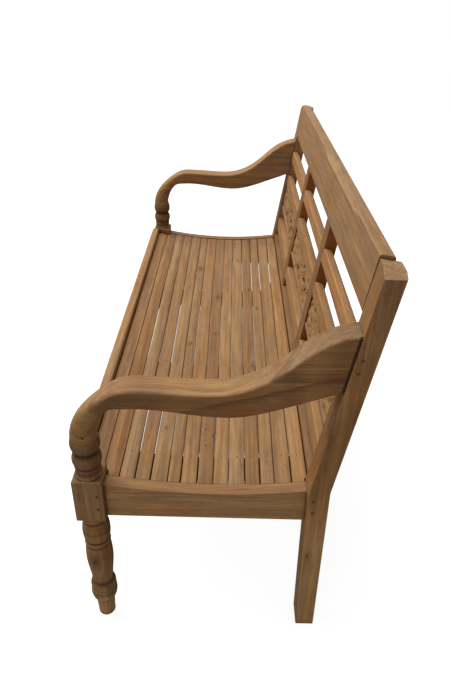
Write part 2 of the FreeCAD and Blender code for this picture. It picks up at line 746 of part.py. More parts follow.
def divider_foot_tenon(x, grow, deeper):
    """Tenon of a divider down into the back seat rail."""
    middle_y = BACK_RAIL_FRONT + BACK_RAIL_T / 2.0
    half_t = DIVIDER_TENON_T / 2.0 + grow
    half_w = DIVIDER_TENON_W / 2.0 + grow
    return box(x - half_w, x + half_w, middle_y - half_t, middle_y + half_t,
               BACK_RAIL_TOP - DIVIDER_TENON_LENGTH - deeper, BACK_RAIL_TOP)


def divider_top_tenon(x, grow, deeper):
    """Tenon of a divider up into the crest rail."""
    middle_n = BACK_T / 2.0
    half_t = DIVIDER_TENON_T / 2.0 + grow
    half_w = DIVIDER_TENON_W / 2.0 + grow
    tenon = box(x - half_w, x + half_w, middle_n - half_t, middle_n + half_t,
                CREST_S[0], CREST_S[0] + DIVIDER_TENON_LENGTH + deeper)
    return to_back_plane(tenon)


def make_divider(x):
    """One upright of the back, from the back seat rail to the crest rail."""
    half_w = DIVIDER_W / 2.0
    below = BACK_T + DIVIDER_TENON_LENGTH
    upright = to_back_plane(box(x - half_w, x + half_w, 0.0, BACK_T, -below, CREST_S[0]))
    room = box(x - half_w, x + half_w, 0.0, BACK_REACH, BACK_RAIL_TOP, BACK_Z + CREST_S[1])
    upright = upright.common(room)
    upright = upright.fuse([divider_foot_tenon(x, 0.0, 0.0), divider_top_tenon(x, 0.0, 0.0)])
    cuts = housings(x - half_w, 1) + housings(x + half_w, -1)
    return upright.cut(cuts)


def crest_bevel():
    """Wedge taken off the front top edge of the crest rail, fading out at both ends."""
    drop = CREST_BEVEL_DROP
    depth = CREST_BEVEL_DEPTH
    top = CREST_S[1]
    over = EASE
    slope = drop / depth
    faded = 0.02
    wires = []
    for x, scale in zip(CREST_BEVEL_X, (faded, 1.0, 1.0, faded)):
        low = V(x, -over, top - drop * scale - over * slope)
        corner = V(x, -over, top + over * slope)
        back = V(x, depth * scale + over, top + over * slope)
        wires.append(Part.makePolygon([low, corner, back, low]))
    return to_back_plane(Part.makeLoft(wires, True, True))


def make_crest_rail():
    """Broad top board of the back."""
    low, high = CREST_S
    rounds = [EASE, EASE, CREST_EASE, CREST_EASE]
    board = rounded_bar(-POST_INNER_X, POST_INNER_X, 0.0, BACK_T, low, high, rounds)
    crest = to_back_plane(board)
    tenon = crest_tenon(0.0, 0.0)
    crest = crest.fuse([tenon, mirrored(tenon)])
    cuts = [divider_top_tenon(x, TENON_FIT, MORTISE_EXTRA) for x in (-DIVIDER_X, DIVIDER_X)]
    cuts.append(crest_bevel())
    return crest.cut(cuts)


def bays():
    """The three bays of the back by name, each with its two side faces."""
    half_w = DIVIDER_W / 2.0
    return {
        "right": (-POST_INNER_X, -DIVIDER_X - half_w),
        "middle": (-DIVIDER_X + half_w, DIVIDER_X - half_w),
        "left": (DIVIDER_X + half_w, POST_INNER_X),
    }


def make_slim_rail(bay, s_range, thickness):
    """One slim rail of the back with a rounded top, tenoned at both ends."""
    x0, x1 = bay
    rounds = [EASE, EASE, RAIL_ROUND_BACK, RAIL_ROUND_FRONT]
    rail = to_back_plane(rounded_bar(x0, x1, 0.0, thickness, s_range[0], s_range[1], rounds))
    return rail.fuse([rail_tenon(x0, -1, s_range, 0.0, 0.0), rail_tenon(x1, 1, s_range, 0.0, 0.0)])


def leaf(x, s, length, width, angle_deg, n0, n1):
    """A pointed leaf shape standing between depths n0 and n1."""
    half = length / 2.0
    belly = -length * LEAF_BELLY
    a = V(-half, n0, 0)
    b = V(half, n0, 0)
    above = V(belly, n0, width / 2.0)
    below = V(belly, n0, -width / 2.0)
    wire = Part.Wire([Part.Arc(a, above, b).toShape(), Part.Arc(b, below, a).toShape()])
    solid = Part.Face(wire).extrude(V(0, n1 - n0, 0))
    solid.rotate(V(0, 0, 0), V(0, 1, 0), -angle_deg)
    solid.translate(V(x, 0, s))
    return solid


def carved_leaves(pattern, bay, n0, n1):
    """The leaves of a pattern, on both sides of the middle of a bay."""
    x0, x1 = bay
    height = PANEL_S[1] - PANEL_S[0]
    middle_x = (x0 + x1) / 2.0
    middle_s = sum(PANEL_S) / 2.0
    leaves = []
    for side in (-1, 1):
        for share, lift, length, width, angle in pattern:
            x = middle_x + side * share * (x1 - x0) / 2.0
            leaves.append(leaf(x, middle_s + lift * height, length * height, width * height,
                               side * angle, n0, n1))
    return leaves


def carved_flower(bay, n0, n1):
    """Petals round a button in the middle of a bay."""
    height = PANEL_S[1] - PANEL_S[0]
    middle_x = sum(bay) / 2.0
    middle_s = sum(PANEL_S) / 2.0
    away, length, width = [share * height for share in PETAL]
    pieces = [Part.makeCylinder(FLOWER_CENTRE * height, n1 - n0, V(middle_x, n0, middle_s), V(0, 1, 0))]
    for i in range(PETAL_COUNT):
        turn = 2.0 * math.pi * i / PETAL_COUNT
        pieces.append(leaf(middle_x + away * math.cos(turn), middle_s + away * math.sin(turn),
                           length, width, math.degrees(turn), n0, n1))
    return pieces


def make_panel(bay):
    """One carved openwork panel: a ground with a raised border, flower and leaves."""
    x0, x1 = bay
    low, high = PANEL_S
    face = PANEL_SETBACK
    proud = face - PANEL_RELIEF
    back = face + PANEL_GROUND_T
    panel = box(x0, x1, face, back, low, high)
    raised = [
        box(x0, x1, proud, face, low, low + PANEL_BORDER),
        box(x0, x1, proud, face, high - PANEL_BORDER, high),
    ]
    raised += carved_leaves(LEAVES, bay, proud, face)
    raised += carved_flower(bay, proud, face)
    panel = panel.fuse(raised)
    panel = panel.cut(carved_leaves(PIERCINGS, bay, proud - PANEL_RELIEF, back + PANEL_RELIEF))
    panel = to_back_plane(panel)
    return panel.fuse([panel_tongue(x0, -1, 0.0, 0.0), panel_tongue(x1, 1, 0.0, 0.0)])


def make_joint_pegs():
    """Every wooden peg of the two ends, one solid each."""
    left = [peg(y, z) for y, z in BLOCK_PEGS + POST_RAIL_PEGS + ARM_POST_PEGS]
    left.append(peg(*ARM_LEG_PEG, arm_peg_surface()))
    return Part.makeCompound(left + [mirrored(p) for p in left])


def build_parts():
    """All pieces by node name, still in the modelling position."""
    parts = {}
    for name, maker in (
        ("front_leg", make_front_leg),
        ("back_post", make_back_post),
        ("arm", make_arm),
        ("end_rail", make_end_rail),
    ):
        left = maker()
        parts[name + "_left"] = left
        parts[name + "_right"] = mirrored(left)
    parts["front_rail"] = make_front_rail()
    parts["back_rail"] = make_back_rail()
    parts["crest_rail"] = make_crest_rail()
    parts["divider_left"] = make_divider(DIVIDER_X)
    parts["divider_right"] = make_divider(-DIVIDER_X)
    for bay_name, bay in bays().items():
        for rail_name, s_range in back_rail_ranges().items():
            thickness = RAIL_LOWER_T if rail_name == "lower" else RAIL_T
            parts["rail_%s_%s" % (rail_name, bay_name)] = make_slim_rail(bay, s_range, thickness)
        parts["panel_%s" % bay_name] = make_panel(bay)
    for i, x in enumerate(bearer_positions()):
        parts["bearer_%d" % (i + 1)] = make_bearer(x)
    for i in range(len(SLAT_SHARES)):
        parts["slat_%02d" % (i + 1)] = make_slat(i)
    parts["joint_pegs"] = make_joint_pegs()
    parts["slat_pins"] = make_slat_pins()
    return parts


os.makedirs("parts", exist_ok=True)
for node, shape in build_parts().items():
    placed = shape.copy()
    placed.translate(V(0, SHIFT_Y, 0))
    placed.exportStep("parts/%s.step" % node)
    size = placed.BoundBox
    print("%-22s solids %3d  valid %s  x %.1f..%.1f  y %.1f..%.1f  z %.1f..%.1f" % (
        node, len(placed.Solids), placed.isValid(), size.XMin, size.XMax,
        size.YMin, size.YMax, size.ZMin, size.ZMax))
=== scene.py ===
import math
import random
from functools import reduce

import bmesh
import bpy
import numpy as np
from mathutils import Matrix, Vector


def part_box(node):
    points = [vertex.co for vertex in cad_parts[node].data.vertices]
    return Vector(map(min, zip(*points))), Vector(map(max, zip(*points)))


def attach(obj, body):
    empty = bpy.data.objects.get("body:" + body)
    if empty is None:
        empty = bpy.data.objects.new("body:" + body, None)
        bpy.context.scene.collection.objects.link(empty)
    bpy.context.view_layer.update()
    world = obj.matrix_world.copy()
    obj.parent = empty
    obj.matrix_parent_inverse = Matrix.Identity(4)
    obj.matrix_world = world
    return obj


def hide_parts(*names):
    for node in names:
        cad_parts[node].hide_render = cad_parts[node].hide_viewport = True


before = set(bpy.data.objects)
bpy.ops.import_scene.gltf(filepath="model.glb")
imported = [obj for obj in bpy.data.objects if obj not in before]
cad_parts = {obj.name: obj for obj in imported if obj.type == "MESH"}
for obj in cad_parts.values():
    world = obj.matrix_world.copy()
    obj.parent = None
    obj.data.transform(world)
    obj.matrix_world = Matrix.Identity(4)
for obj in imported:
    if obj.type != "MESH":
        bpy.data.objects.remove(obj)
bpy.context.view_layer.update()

# Teak bench. Metres; +X is the sitter's left and the near end of the view, -Y the front.

# Front face of the leg blocks; the places along Y are measured from it
FRONT_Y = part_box("front_leg_left")[0].y

# Inner side of the near post and both sides of the near divider
POST_INNER_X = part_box("back_post_left")[0].x
DIVIDER_X = (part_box("divider_left")[0].x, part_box("divider_left")[1].x)

# Front edge of a back post: the knee and how much it leans above it
POST_KNEE = (FRONT_Y + 0.4265, 0.378)
POST_LEAN = 0.1542

# Camera, from the perspective of the photograph
CAMERA_PLACE = (1.4102, FRONT_Y + 0.2741, 1.1777)
CAMERA_YAW = math.radians(-0.777)
CAMERA_PITCH = math.radians(31.796)
CAMERA_ROLL = math.radians(1.947)
CAMERA_REACH = 200.0
FOCAL_PX = 589.3
IMAGE_W = 452
IMAGE_H = 683
CENTRE_PX = (234.8, 342.6)
SENSOR = 24.0

# Soft square lamps: place, aim, size, power
LAMPS = {
    "lamp_above": ((-0.6, -1.2, 3.4), (0.0, 0.0, 0.4), 2.6, 84.0),
    "lamp_front": ((-1.0, -3.2, 1.9), (0.0, 0.1, 0.5), 2.2, 30.0),
    "lamp_end": ((3.6, -0.8, 1.6), (0.5, 0.0, 0.4), 2.0, 20.0),
}

# World and floor: light they give the bench, and how they look to the camera
WORLD_LIGHT = 0.30
FLOOR_REACH = 60.0
FLOOR_ROUGHNESS = 0.9
FLOOR_SHINE = 0.1
FLOOR_GREY = (0.26, 0.26, 0.26)
FLOOR_SEEN_GREY = (0.50, 0.50, 0.50)
FLOOR_SEEN_GLOW = 0.83
WHITE = (1.0, 1.0, 1.0, 1.0)

# Seat: low line, rise of the dish and its reach
DISH_LOW = 0.366
DISH_Y = FRONT_Y + 0.255
DISH_RISE = 0.0233
DISH_REACH = 0.233

# Slats: thickness, rounded top edges, points between them, rings along the bench, room in the CAD slat
SLAT_COUNT = 14
SLAT_T = 0.015
SLAT_ROUND = 0.0022
SLAT_ROUND_STEPS = 4
SLAT_TOP_SHARES = (0.3, 0.5, 0.7)
SLAT_STATIONS = 66
SLAT_ROOM = 0.0002

# Eased ends of a slat: how far they draw in and over what length
SLAT_END_EASE = 0.0009
SLAT_END_LENGTH = 0.0012

# Sides of a slat: straight near the top, then leaning inward below
SLAT_STRAIGHT = 0.0045
SLAT_UNDERCUT = 0.0024
SLAT_FREE_LEAN = 0.001
SLAT_LEAST_GAP = 0.0001

# Slats cut back round the leg blocks and the posts
NOTCH_GAP = 0.001
NOTCH_STEP = 0.0002
LEG_SLAT = 2
LEG_NOTCH_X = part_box("front_leg_left")[0].x - NOTCH_GAP
LEG_NOTCH_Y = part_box("front_leg_left")[1].y + NOTCH_GAP
POST_NOTCH_X = POST_INNER_X - NOTCH_GAP
POST_NOTCH_Y = POST_KNEE[0] - NOTCH_GAP

# Waver of sawn stock: height, highest crown, joint lines, and ranges of a wave's size, rate and start
LEVEL_WOBBLE = 0.00022
HIGHEST_CROWN = 0.0004
JOINT_WOBBLE = 0.0004
WOBBLE_SIZES = (0.3, 1.0)
WOBBLE_RATES = (3.0, 16.0)
WOBBLE_STARTS = (0.0, 6.28)
WOBBLE_TERMS = 3
SLAT_SEED = 200
JOINT_SEED = 500

# Pins that hold the slats: places along the bench, radius, and rings as share of it and height
PIN_X = (-0.534, -0.205, 0.205, 0.534)
PIN_R = 0.0017
PIN_SIDES = 14
PIN_RINGS = ((1.0, -0.004), (1.0, 0.0003), (0.8, 0.0005))

# Gap behind each slat in the far, middle and near third of the seat and past the last bearer
SLAT_GAPS = [
    (0.0003, 0.0003, 0.0003, 0.0005),
    (0.0003, 0.0015, 0.0003, 0.0008),
    (0.0003, 0.0006, 0.0013, 0.0016),
    (0.0003, 0.0012, 0.0011, 0.0020),
    (0.0003, 0.0002, 0.0006, 0.0008),
    (0.0002, 0.0007, 0.0002, 0.0018),
    (0.0002, 0.0002, 0.0002, 0.0017),
    (0.0002, 0.0004, 0.0002, 0.0006),
    (0.0002, 0.0002, 0.0002, 0.0005),
    (0.0006, 0.0004, 0.0002, 0.0018),
    (0.0012, 0.0006, 0.0002, 0.0017),
    (0.0013, 0.0002, 0.0002, 0.0005),
    (0.0015, 0.0002, 0.0003, 0.0016),
]
GAP_BLEND = 0.03

# Raked plane of the back: x along, n behind the front face, s up the back
RAKE = math.radians(8.0)
BACK_Y = FRONT_Y + 0.4342
BACK_Z = 0.400

# Carved panels: bays, height range, depths and grid step
BAYS = {
    "right": (-POST_INNER_X, -DIVIDER_X[1]),
    "middle": (-DIVIDER_X[0], DIVIDER_X[0]),
    "left": (DIVIDER_X[1], POST_INNER_X),
}
PANEL_S = (0.102, 0.1838)
PANEL_HEIGHT = PANEL_S[1] - PANEL_S[0]
PANEL_MIDDLE = (PANEL_S[0] + PANEL_S[1]) / 2.0
PANEL_FACE = 0.0010
PANEL_GROUND = 0.0044
PANEL_BACK = 0.013
PANEL_STEP = 0.0011

# Carving as shares of the panel height: place along the half panel, height above the
# middle, length, width, angle in degrees
LEAVES = [
    (0.30, 0.11, 0.76, 0.24, 24.0),
    (0.34, -0.17, 0.71, 0.21, -20.0),
    (0.56, -0.10, 0.80, 0.23, 28.0),
    (0.62, 0.20, 0.66, 0.20, -16.0),
    (0.80, 0.07, 0.61, 0.22, 30.0),
    (0.84, -0.22, 0.54, 0.17, -12.0),
]
SPROUTS = [
    (0.40, 0.31, 0.34, 0.12, 8.0),
    (0.45, -0.34, 0.30, 0.11, -4.0),
    (0.70, -0.33, 0.32, 0.12, 14.0),
    (0.73, 0.06, 0.30, 0.11, 44.0),
    (0.93, 0.28, 0.30, 0.12, -30.0),
    (0.95, -0.05, 0.26, 0.11, 60.0),
]
PIERCINGS = [
    (0.21, -0.24, 0.32, 0.13, -38.0),
    (0.23, 0.24, 0.25, 0.12, 40.0),
    (0.45, 0.02, 0.36, 0.15, 20.0),
    (0.47, -0.29, 0.20, 0.09, -10.0),
    (0.70, -0.05, 0.28, 0.13, 34.0),
    (0.72, 0.31, 0.20, 0.08, 0.0),
]

# Carved leaf: height, powers of its outline and dome, waves of its edge, midrib and side veins
LEAF_TOP = 0.86
LEAF_POINT = 0.7
LEAF_SHOULDER = 2.4
LEAF_ENDS = 0.35
LEAF_EDGE_WAVE = 0.10
LEAF_EDGE_RATE = 16.0
LEAF_RIB_WIDTH = 0.0007
LEAF_RIB_DEPTH = 0.42
LEAF_VEIN_DEPTH = 0.16
LEAF_VEIN_RATE = 9.0
LEAF_VEIN_SLANT = 2.2

# Carved flower, as shares of the panel height: petals with a fold, a groove round the button
PETALS = 8
PETAL_AWAY = 0.21
PETAL_LENGTH = 0.32
PETAL_WIDTH = 0.17
PETAL_TOP = 0.70
PETAL_POINT = 0.6
PETAL_FOLD_WIDTH = 0.010
PETAL_FOLD_DEPTH = 0.35
BUTTON = 0.095
BUTTON_GROOVE_AWAY = 1.15
BUTTON_GROOVE_WIDTH = 0.012
BUTTON_GROOVE_DEPTH = 0.45

# Winding stem: height, half width, swing as share of the panel height and how it grows, reach
STEM_TOP = 0.60
STEM_HALF = 0.0034
STEM_SWING = 0.16
STEM_RATE = 9.0
STEM_STRAIGHT = 0.15
STEM_GROWTH = 4.0
STEM_REACH = (0.2, 0.93)
STEM_FADE = 12.0

# Border of a panel with its bead, and the sunk rims of the pierced holes
BORDER_WIDTH = 0.007
BORDER_SLOPE = 0.0012
BEAD_DEPTH = 0.12
BEAD_RATE = 6.0
RIM_WIDTH = 0.0016
RIM_WEAR = 0.45
RIM_DEPTH = 0.16

# Grid points that snap onto a hole's edge: reach in grid steps, rounds and slope step
SNAP_REACH = 0.70
SNAP_ROUNDS = 3
SNAP_STEP = 1e-4

# Least width and slope that the carving divides by
LEAST_WIDTH = 1e-6
LEAST_SLOPE = 1e-3

# Angle in degrees above which an edge stays sharp
SHARP_ANGLE = 35.0
CARVED_SHARP_ANGLE = 50.0

# Wood colours, linear
PALE_WOOD = (0.540, 0.325, 0.135)
BROWN_WOOD = (0.330, 0.172, 0.066)
DARK_GRAIN = (0.135, 0.060, 0.022)
RED_WOOD = (0.380, 0.150, 0.045)
GREY_WOOD = (0.330, 0.222, 0.145)
ORANGE_WOOD = (0.500, 0.245, 0.082)
PORE = (0.080, 0.038, 0.016)
KNOT_HEART = (0.060, 0.028, 0.014)
# Colour of painted shade in creases, grooves and gaps, and of the painted shadow at the near arm's joint
DEEP_SHADE = (0.028, 0.012, 0.005)
# Colour of the painted shade in corners, and of the dark growth line on the near arm
SHADE_AND_GRAIN_BROWN = (0.120, 0.048, 0.018)

# Noises of the wood: scale along and across the grain, detail, roughness, lowest and highest value used
NOISES = {
    "streaks": (2.2, 95.0, 3.0, 0.60, 0.40, 0.72),
    "pores": (75.0, 1500.0, 1.0, 0.50, 0.60, 0.74),
    "red": (3.5, 22.0, 3.0, 0.60, 0.40, 0.70),
    "grey": (7.0, 38.0, 4.0, 0.70, 0.44, 0.72),
    "blotch": (13.0, 45.0, 4.0, 0.70, 0.52, 0.72),
    "orange": (5.0, 42.0, 3.0, 0.65, 0.45, 0.72),
    "cloud": (16.0, 60.0, 3.0, 0.60, 0.35, 0.68),
    "mottle": (9.0, 190.0, 3.0, 0.60, 0.30, 0.70),
    "fibres": (7.0, 420.0, 4.0, 0.65, 0.00, 1.00),
}

# Share of each layer of the wood that shows
GREY_SHARE = 0.70
ORANGE_SHARE = 0.55
RING_SHARE = 0.45
BLOTCH_SHARE = 0.34
CLOUD_SHARE = 0.22
FIBRE_SHARE = 0.26
PORE_SHARE = 0.40
HALO_SHARE = 0.18
HEART_SHARE = 0.85
MOTTLE_LEVELS = (0.83, 1.12)
FIBRE_RANGE = (0.35, 0.75)
HALO_RANGE = (0.2, 0.8)

# Growth rings: number, unevenness, sharpness of the dark line, its weakest strength
RINGS_PER_METRE = 130.0
RING_UNEVEN = 3.2
RING_SHARPNESS = 3.0
RING_WEAKEST = 0.15

# Noises along the radius of the rings: scale, detail, roughness; and the range of them that is used
RING_NOISE = (60.0, 1.0, 0.5)
STRENGTH_NOISE = (140.0, 1.0, 0.5)
STRENGTH_RANGE = (0.35, 0.65)
BAND_NOISE = (75.0, 2.5, 0.6)
BAND_RANGE = (0.36, 0.64)

# Wander of the grain: noise scale along and across, reach in metres
SLOW_WANDER = (2.2, 8.0, 0.050)
FINE_WANDER = (8.0, 55.0, 0.0045)

# Knots: stretch along the grain, tightness of the bent grain and of the heart, bend in metres
KNOT_STRETCH = (0.5, 1.0, 1.0)
KNOT_BULGE = 0.22
KNOT_TIGHT = 2.4
KNOT_BEND = 0.005

# Relief of the wood, and how rough and shiny it is; the roughness follows a range of the fibres
FIBRE_RELIEF = 0.5
PORE_RELIEF = 0.8
RING_RELIEF = 0.25
RELIEF_STRENGTH = 0.45
RELIEF_DEPTH = 0.0005
ROUGH_RANGE = (0.2, 0.8)
ROUGHNESS = (0.50, 0.70)
SHINE = 0.20

# Seed and ranges of each piece's own cut from the log: start along the grain, run-out, ring centre
GRAIN_SEED = 11
START_RANGE = (0.0, 60.0)
RUN_OUT_RANGE = (-0.03, 0.03)
RING_Y_RANGE = (0.0, 0.05)
RING_Z_RANGE = (0.03, 0.12)
RED_SHARE = 0.60

# Painted shade in corners and creases, and paler sharp edges: how far the corner shade and the pale edges
# reach, how open the surface is there, and the pale share
CORNER_SHADE_REACH = 0.030
CORNER_SHADE_OPEN = (0.25, 0.90)
CREASE_OPEN = (0.38, 0.92)
EDGE_REACH = 0.0035
EDGE_OPEN = (0.35, 0.75)
EDGE_SHARE = 0.22
OCCLUSION_SAMPLES = 6

# Parts of a face's direction that count as looking up or sideways
UPWARD_RANGE = (0.25, 0.60)
SIDEWAYS_RANGE = (0.50, 0.80)

# How much redness 1.0 above the usual changes red and blue
RED_SWING = 0.4

# Brightness and redness of each slat from front to back
SLAT_TONES = [
    (1.00, 1.00), (0.82, 1.28), (1.08, 0.90), (1.00, 1.04), (0.98, 0.92), (0.94, 1.00), (1.04, 1.08),
    (0.86, 1.06), (1.00, 1.06), (1.06, 0.95), (0.93, 1.06), (1.05, 0.94), (0.98, 1.00), (1.05, 1.10),
]

# Brightness and redness ranges of the slim back rails
RAIL_TONES = (0.84, 0.98)
RAIL_REDS = (1.1, 1.3)

# Brightness and redness of the end grain on a post, and of the painted shade on the sides of a divider
END_GRAIN = (1.20, 0.70)
DIVIDER_SIDE_SHADE = (0.72, 2.2)

# Knots of the slats: place along the bench, place across the slat, size
SLAT_KNOTS = {
    3: [(0.300, 0.3, 0.003)],
    5: [(0.455, 0.45, 0.004)],
    6: [(-0.345, 0.5, 0.006), (0.115, 0.5, 0.004)],
    8: [(0.452, 0.30, 0.004), (0.472, 0.85, 0.003), (0.502, 0.40, 0.004), (-0.150, 0.6, 0.006),
        (0.060, 0.6, 0.004)],
    10: [(-0.420, 0.6, 0.003)],
    11: [(-0.200, 0.7, 0.005), (0.210, 0.8, 0.004)],
    12: [(-0.080, 0.4, 0.004)],
}

# Knots of the near leg and the near post: place, size
LEG_KNOTS = [((0.648, FRONT_Y + 0.024, 0.186), 0.006)]
POST_KNOTS = [((0.650, FRONT_Y + 0.440, 0.220), 0.005)]

# Painted shade: dark rings in the grooves and hollows of the front legs: height, half width, strength;
# height of the ramp
LEG_GROOVE_SHADE = [
    (0.051, 0.006, 1.00),
    (0.078, 0.010, 0.55),
    (0.108, 0.006, 0.75),
    (0.2205, 0.005, 0.80),
    (0.2345, 0.006, 1.00),
    (0.262, 0.004, 0.45),
    (0.287, 0.006, 0.90),
    (0.4165, 0.006, 0.65),
    (0.4285, 0.004, 1.00),
    (0.460, 0.011, 0.90),
]
LEG_REACH = 0.5

# How the tone runs up a leg and a post and along the near arm: place, brightness, redness
# The darker, redder steps of the leg's tone lie at its hollows and are painted shade
LEG_TONES = [
    (0.000, 1.45, 1.0), (0.060, 1.35, 1.0), (0.085, 1.00, 1.0), (0.106, 0.55, 1.3), (0.125, 0.85, 1.1),
    (0.150, 0.95, 1.0), (0.195, 0.68, 1.3), (0.238, 0.88, 1.4), (0.281, 0.64, 1.4), (0.303, 0.84, 1.0),
    (0.350, 0.85, 1.0), (0.400, 0.76, 1.0), (0.435, 0.55, 1.3), (0.460, 0.46, 1.4), (0.490, 0.55, 1.2),
]
# Painted light and shade on a post's sides: paler low down, darker and redder higher up
POST_SHADE_TONES = [
    (0.000, 1.05, 0.9), (0.180, 1.02, 1.0), (0.240, 1.18, 1.0), (0.320, 1.04, 1.1), (0.380, 0.70, 1.2),
    (0.450, 0.58, 1.3), (0.550, 0.54, 1.3), (0.610, 0.74, 1.2), (0.660, 0.66, 1.3), (0.700, 0.74, 1.1),
    (0.770, 0.60, 1.2), (0.835, 0.60, 1.2),
]
ARM_TOP_TONES = [
    (0.020, 0.92, 1.0), (0.090, 0.94, 1.0), (0.135, 0.86, 0.9), (0.190, 1.14, 0.9), (0.250, 1.14, 0.9),
    (0.320, 1.00, 1.0), (0.355, 0.74, 1.2), (0.385, 0.92, 0.9), (0.415, 0.76, 0.9), (0.450, 0.74, 0.9),
]
ARM_SIDE_TONES = [
    (0.020, 1.00, 1.0), (0.050, 0.96, 1.0), (0.075, 0.84, 1.1), (0.130, 0.92, 1.1), (0.200, 1.10, 1.1),
    (0.300, 1.00, 1.4), (0.350, 1.15, 1.2), (0.380, 0.95, 1.3), (0.410, 1.25, 1.3), (0.450, 0.85, 1.4),
]
# Painted light on the lower column of the near arm, which lies in shade, and painted shade under the elbow
ARM_FALL_TONES = [
    (0.490, 1.25, 1.0), (0.530, 1.35, 1.0), (0.560, 1.05, 1.0), (0.590, 0.64, 1.1), (0.605, 0.75, 1.1),
    (0.615, 1.00, 1.0),
]

# Highest level that a tone or its redness may reach
TONE_TOP = 1.6

# Near arm: stretch behind its front where the falling part ends
ARM_FALL_END = (0.065, 0.105)

# Dark growth line on the side of the near arm: a place on it, rise, wander and its noise, start, width
ARM_GRAIN = (0.267, 0.5885)
ARM_GRAIN_RISE = 0.29
ARM_GRAIN_WANDER = 0.014
ARM_GRAIN_NOISE = (11.0, 2.0, 0.5)
ARM_GRAIN_START = (0.15, 0.27)
ARM_GRAIN_WIDTH = 0.016
ARM_GRAIN_EDGE = 0.0012
ARM_GRAIN_SHARE = 0.75

# Painted shadow of the open joint between the near arm and its post: width, strength, and how deep it lies
# in the side
JOINT_SHADOW_WIDTH = 0.0065
JOINT_SHADOW_SHARE = 0.95
JOINT_SHADOW_DEPTH = (0.0030, 0.0015)
ARM_OUTER_X = 0.648

# Sockets of a mix node that mixes colours: factor, first and second colour, and the result
MIX_INPUTS = (0, 6, 7)
MIX_OUTPUT = 2

# Sockets of the teak node group: way, kind and names
GROUP_SOCKETS = (
    ("INPUT", "NodeSocketVector", ("Vector",)),
    ("INPUT", "NodeSocketFloat",
     ("Bulge", "Heart", "Ring Y", "Ring Z", "Slope", "Figure", "Streaks", "Redness")),
    ("OUTPUT", "NodeSocketColor", ("Color",)),
    ("OUTPUT", "NodeSocketFloat", ("Height", "Roughness")),
)

# Turn of the coordinates for a piece that runs along each axis
ALONG = {
    "x": (0.0, 0.0, 0.0),
    "y": (0.0, 0.0, -math.pi / 2.0),
    "z": (0.0, math.pi / 2.0, 0.0),
    "back": (-RAKE, 0.0, 0.0),
}

rng = random.Random(GRAIN_SEED)


def math_node(tree, operation, a, b=None):
    """A math node; numbers are set, sockets are linked."""
    node = tree.nodes.new("ShaderNodeMath")
    node.operation = operation
    for slot, value in enumerate((a, b)):
        if value is None:
            continue
        if isinstance(value, (int, float)):
            node.inputs[slot].default_value = value
        else:
            tree.links.new(value, node.inputs[slot])
    return node.outputs[0]


def add(tree, *values):
    """Sum of several numbers or sockets."""
    return reduce(lambda a, b: math_node(tree, "ADD", a, b), values)


def multiply(tree, *values):
    """Product of several numbers or sockets."""
    return reduce(lambda a, b: math_node(tree, "MULTIPLY", a, b), values)


def subtract(tree, a, b):
    """One number or socket less another."""
    return math_node(tree, "SUBTRACT", a, b)


def highest(tree, values):
    """The highest of several sockets."""
    return reduce(lambda a, b: math_node(tree, "MAXIMUM", a, b), values)


def vector_node(tree, operation, a, b):
    """A vector math node; tuples are set, sockets are linked."""
    node = tree.nodes.new("ShaderNodeVectorMath")
    node.operation = operation
    for slot, value in enumerate((a, b)):
        if isinstance(value, bpy.types.NodeSocket):
            tree.links.new(value, node.inputs[slot])
        elif value is not None:
            node.inputs[slot].default_value = value
    return node.outputs["Value"] if operation == "LENGTH" else node.outputs["Vector"]


def split(tree, vector):
    """X, Y and Z of a vector."""
    node = tree.nodes.new("ShaderNodeSeparateXYZ")
    tree.links.new(vector, node.inputs[0])
    return node.outputs


def remap(tree, value, low, high, to_low=0.0, to_high=1.0):
    """Map a range of values, clamped."""
    node = tree.nodes.new("ShaderNodeMapRange")
    tree.links.new(value, node.inputs["Value"])
    node.inputs["From Min"].default_value = low
    node.inputs["From Max"].default_value = high
    node.inputs["To Min"].default_value = to_low
    node.inputs["To Max"].default_value = to_high
    return node.outputs["Result"]


def mix_colour(tree, factor, a, b, blend="MIX"):
    """Mix two colours; each may be a colour or a socket."""
    node = tree.nodes.new("ShaderNodeMix")
    node.data_type = "RGBA"
    node.blend_type = blend
    for number, value in zip(MIX_INPUTS, (factor, a, b)):
        socket = node.inputs[number]
        if isinstance(value, bpy.types.NodeSocket):
            tree.links.new(value, socket)
        elif isinstance(value, (int, float)):
            socket.default_value = value
        else:
            socket.default_value = (*value, 1.0)
    return node.outputs[MIX_OUTPUT]


def noise(tree, vector, stretch, detail=2.0, rough=0.5):
    """Noise on a vector first stretched along the three axes."""
    node = tree.nodes.new("ShaderNodeTexNoise")
    tree.links.new(vector_node(tree, "MULTIPLY", vector, stretch), node.inputs["Vector"])
    node.inputs["Scale"].default_value = 1.0
    node.inputs["Detail"].default_value = detail
    node.inputs["Roughness"].default_value = rough
    return node.outputs["Fac"]


def noise_line(tree, value, kind):
    """Noise along one number; the kind is a scale, a detail and a roughness."""
    scale, detail, rough = kind
    node = tree.nodes.new("ShaderNodeTexNoise")
    node.noise_dimensions = "1D"
    tree.links.new(value, node.inputs["W"])
    node.inputs["Scale"].default_value = scale
    node.inputs["Detail"].default_value = detail
    node.inputs["Roughness"].default_value = rough
    return node.outputs["Fac"]


def occlusion(tree, distance, inside):
    """How open the surface is, or how sharp an edge, within a distance."""
    node = tree.nodes.new("ShaderNodeAmbientOcclusion")
    node.samples = OCCLUSION_SAMPLES
    node.inside = inside
    node.inputs["Distance"].default_value = distance
    return node.outputs["AO"]


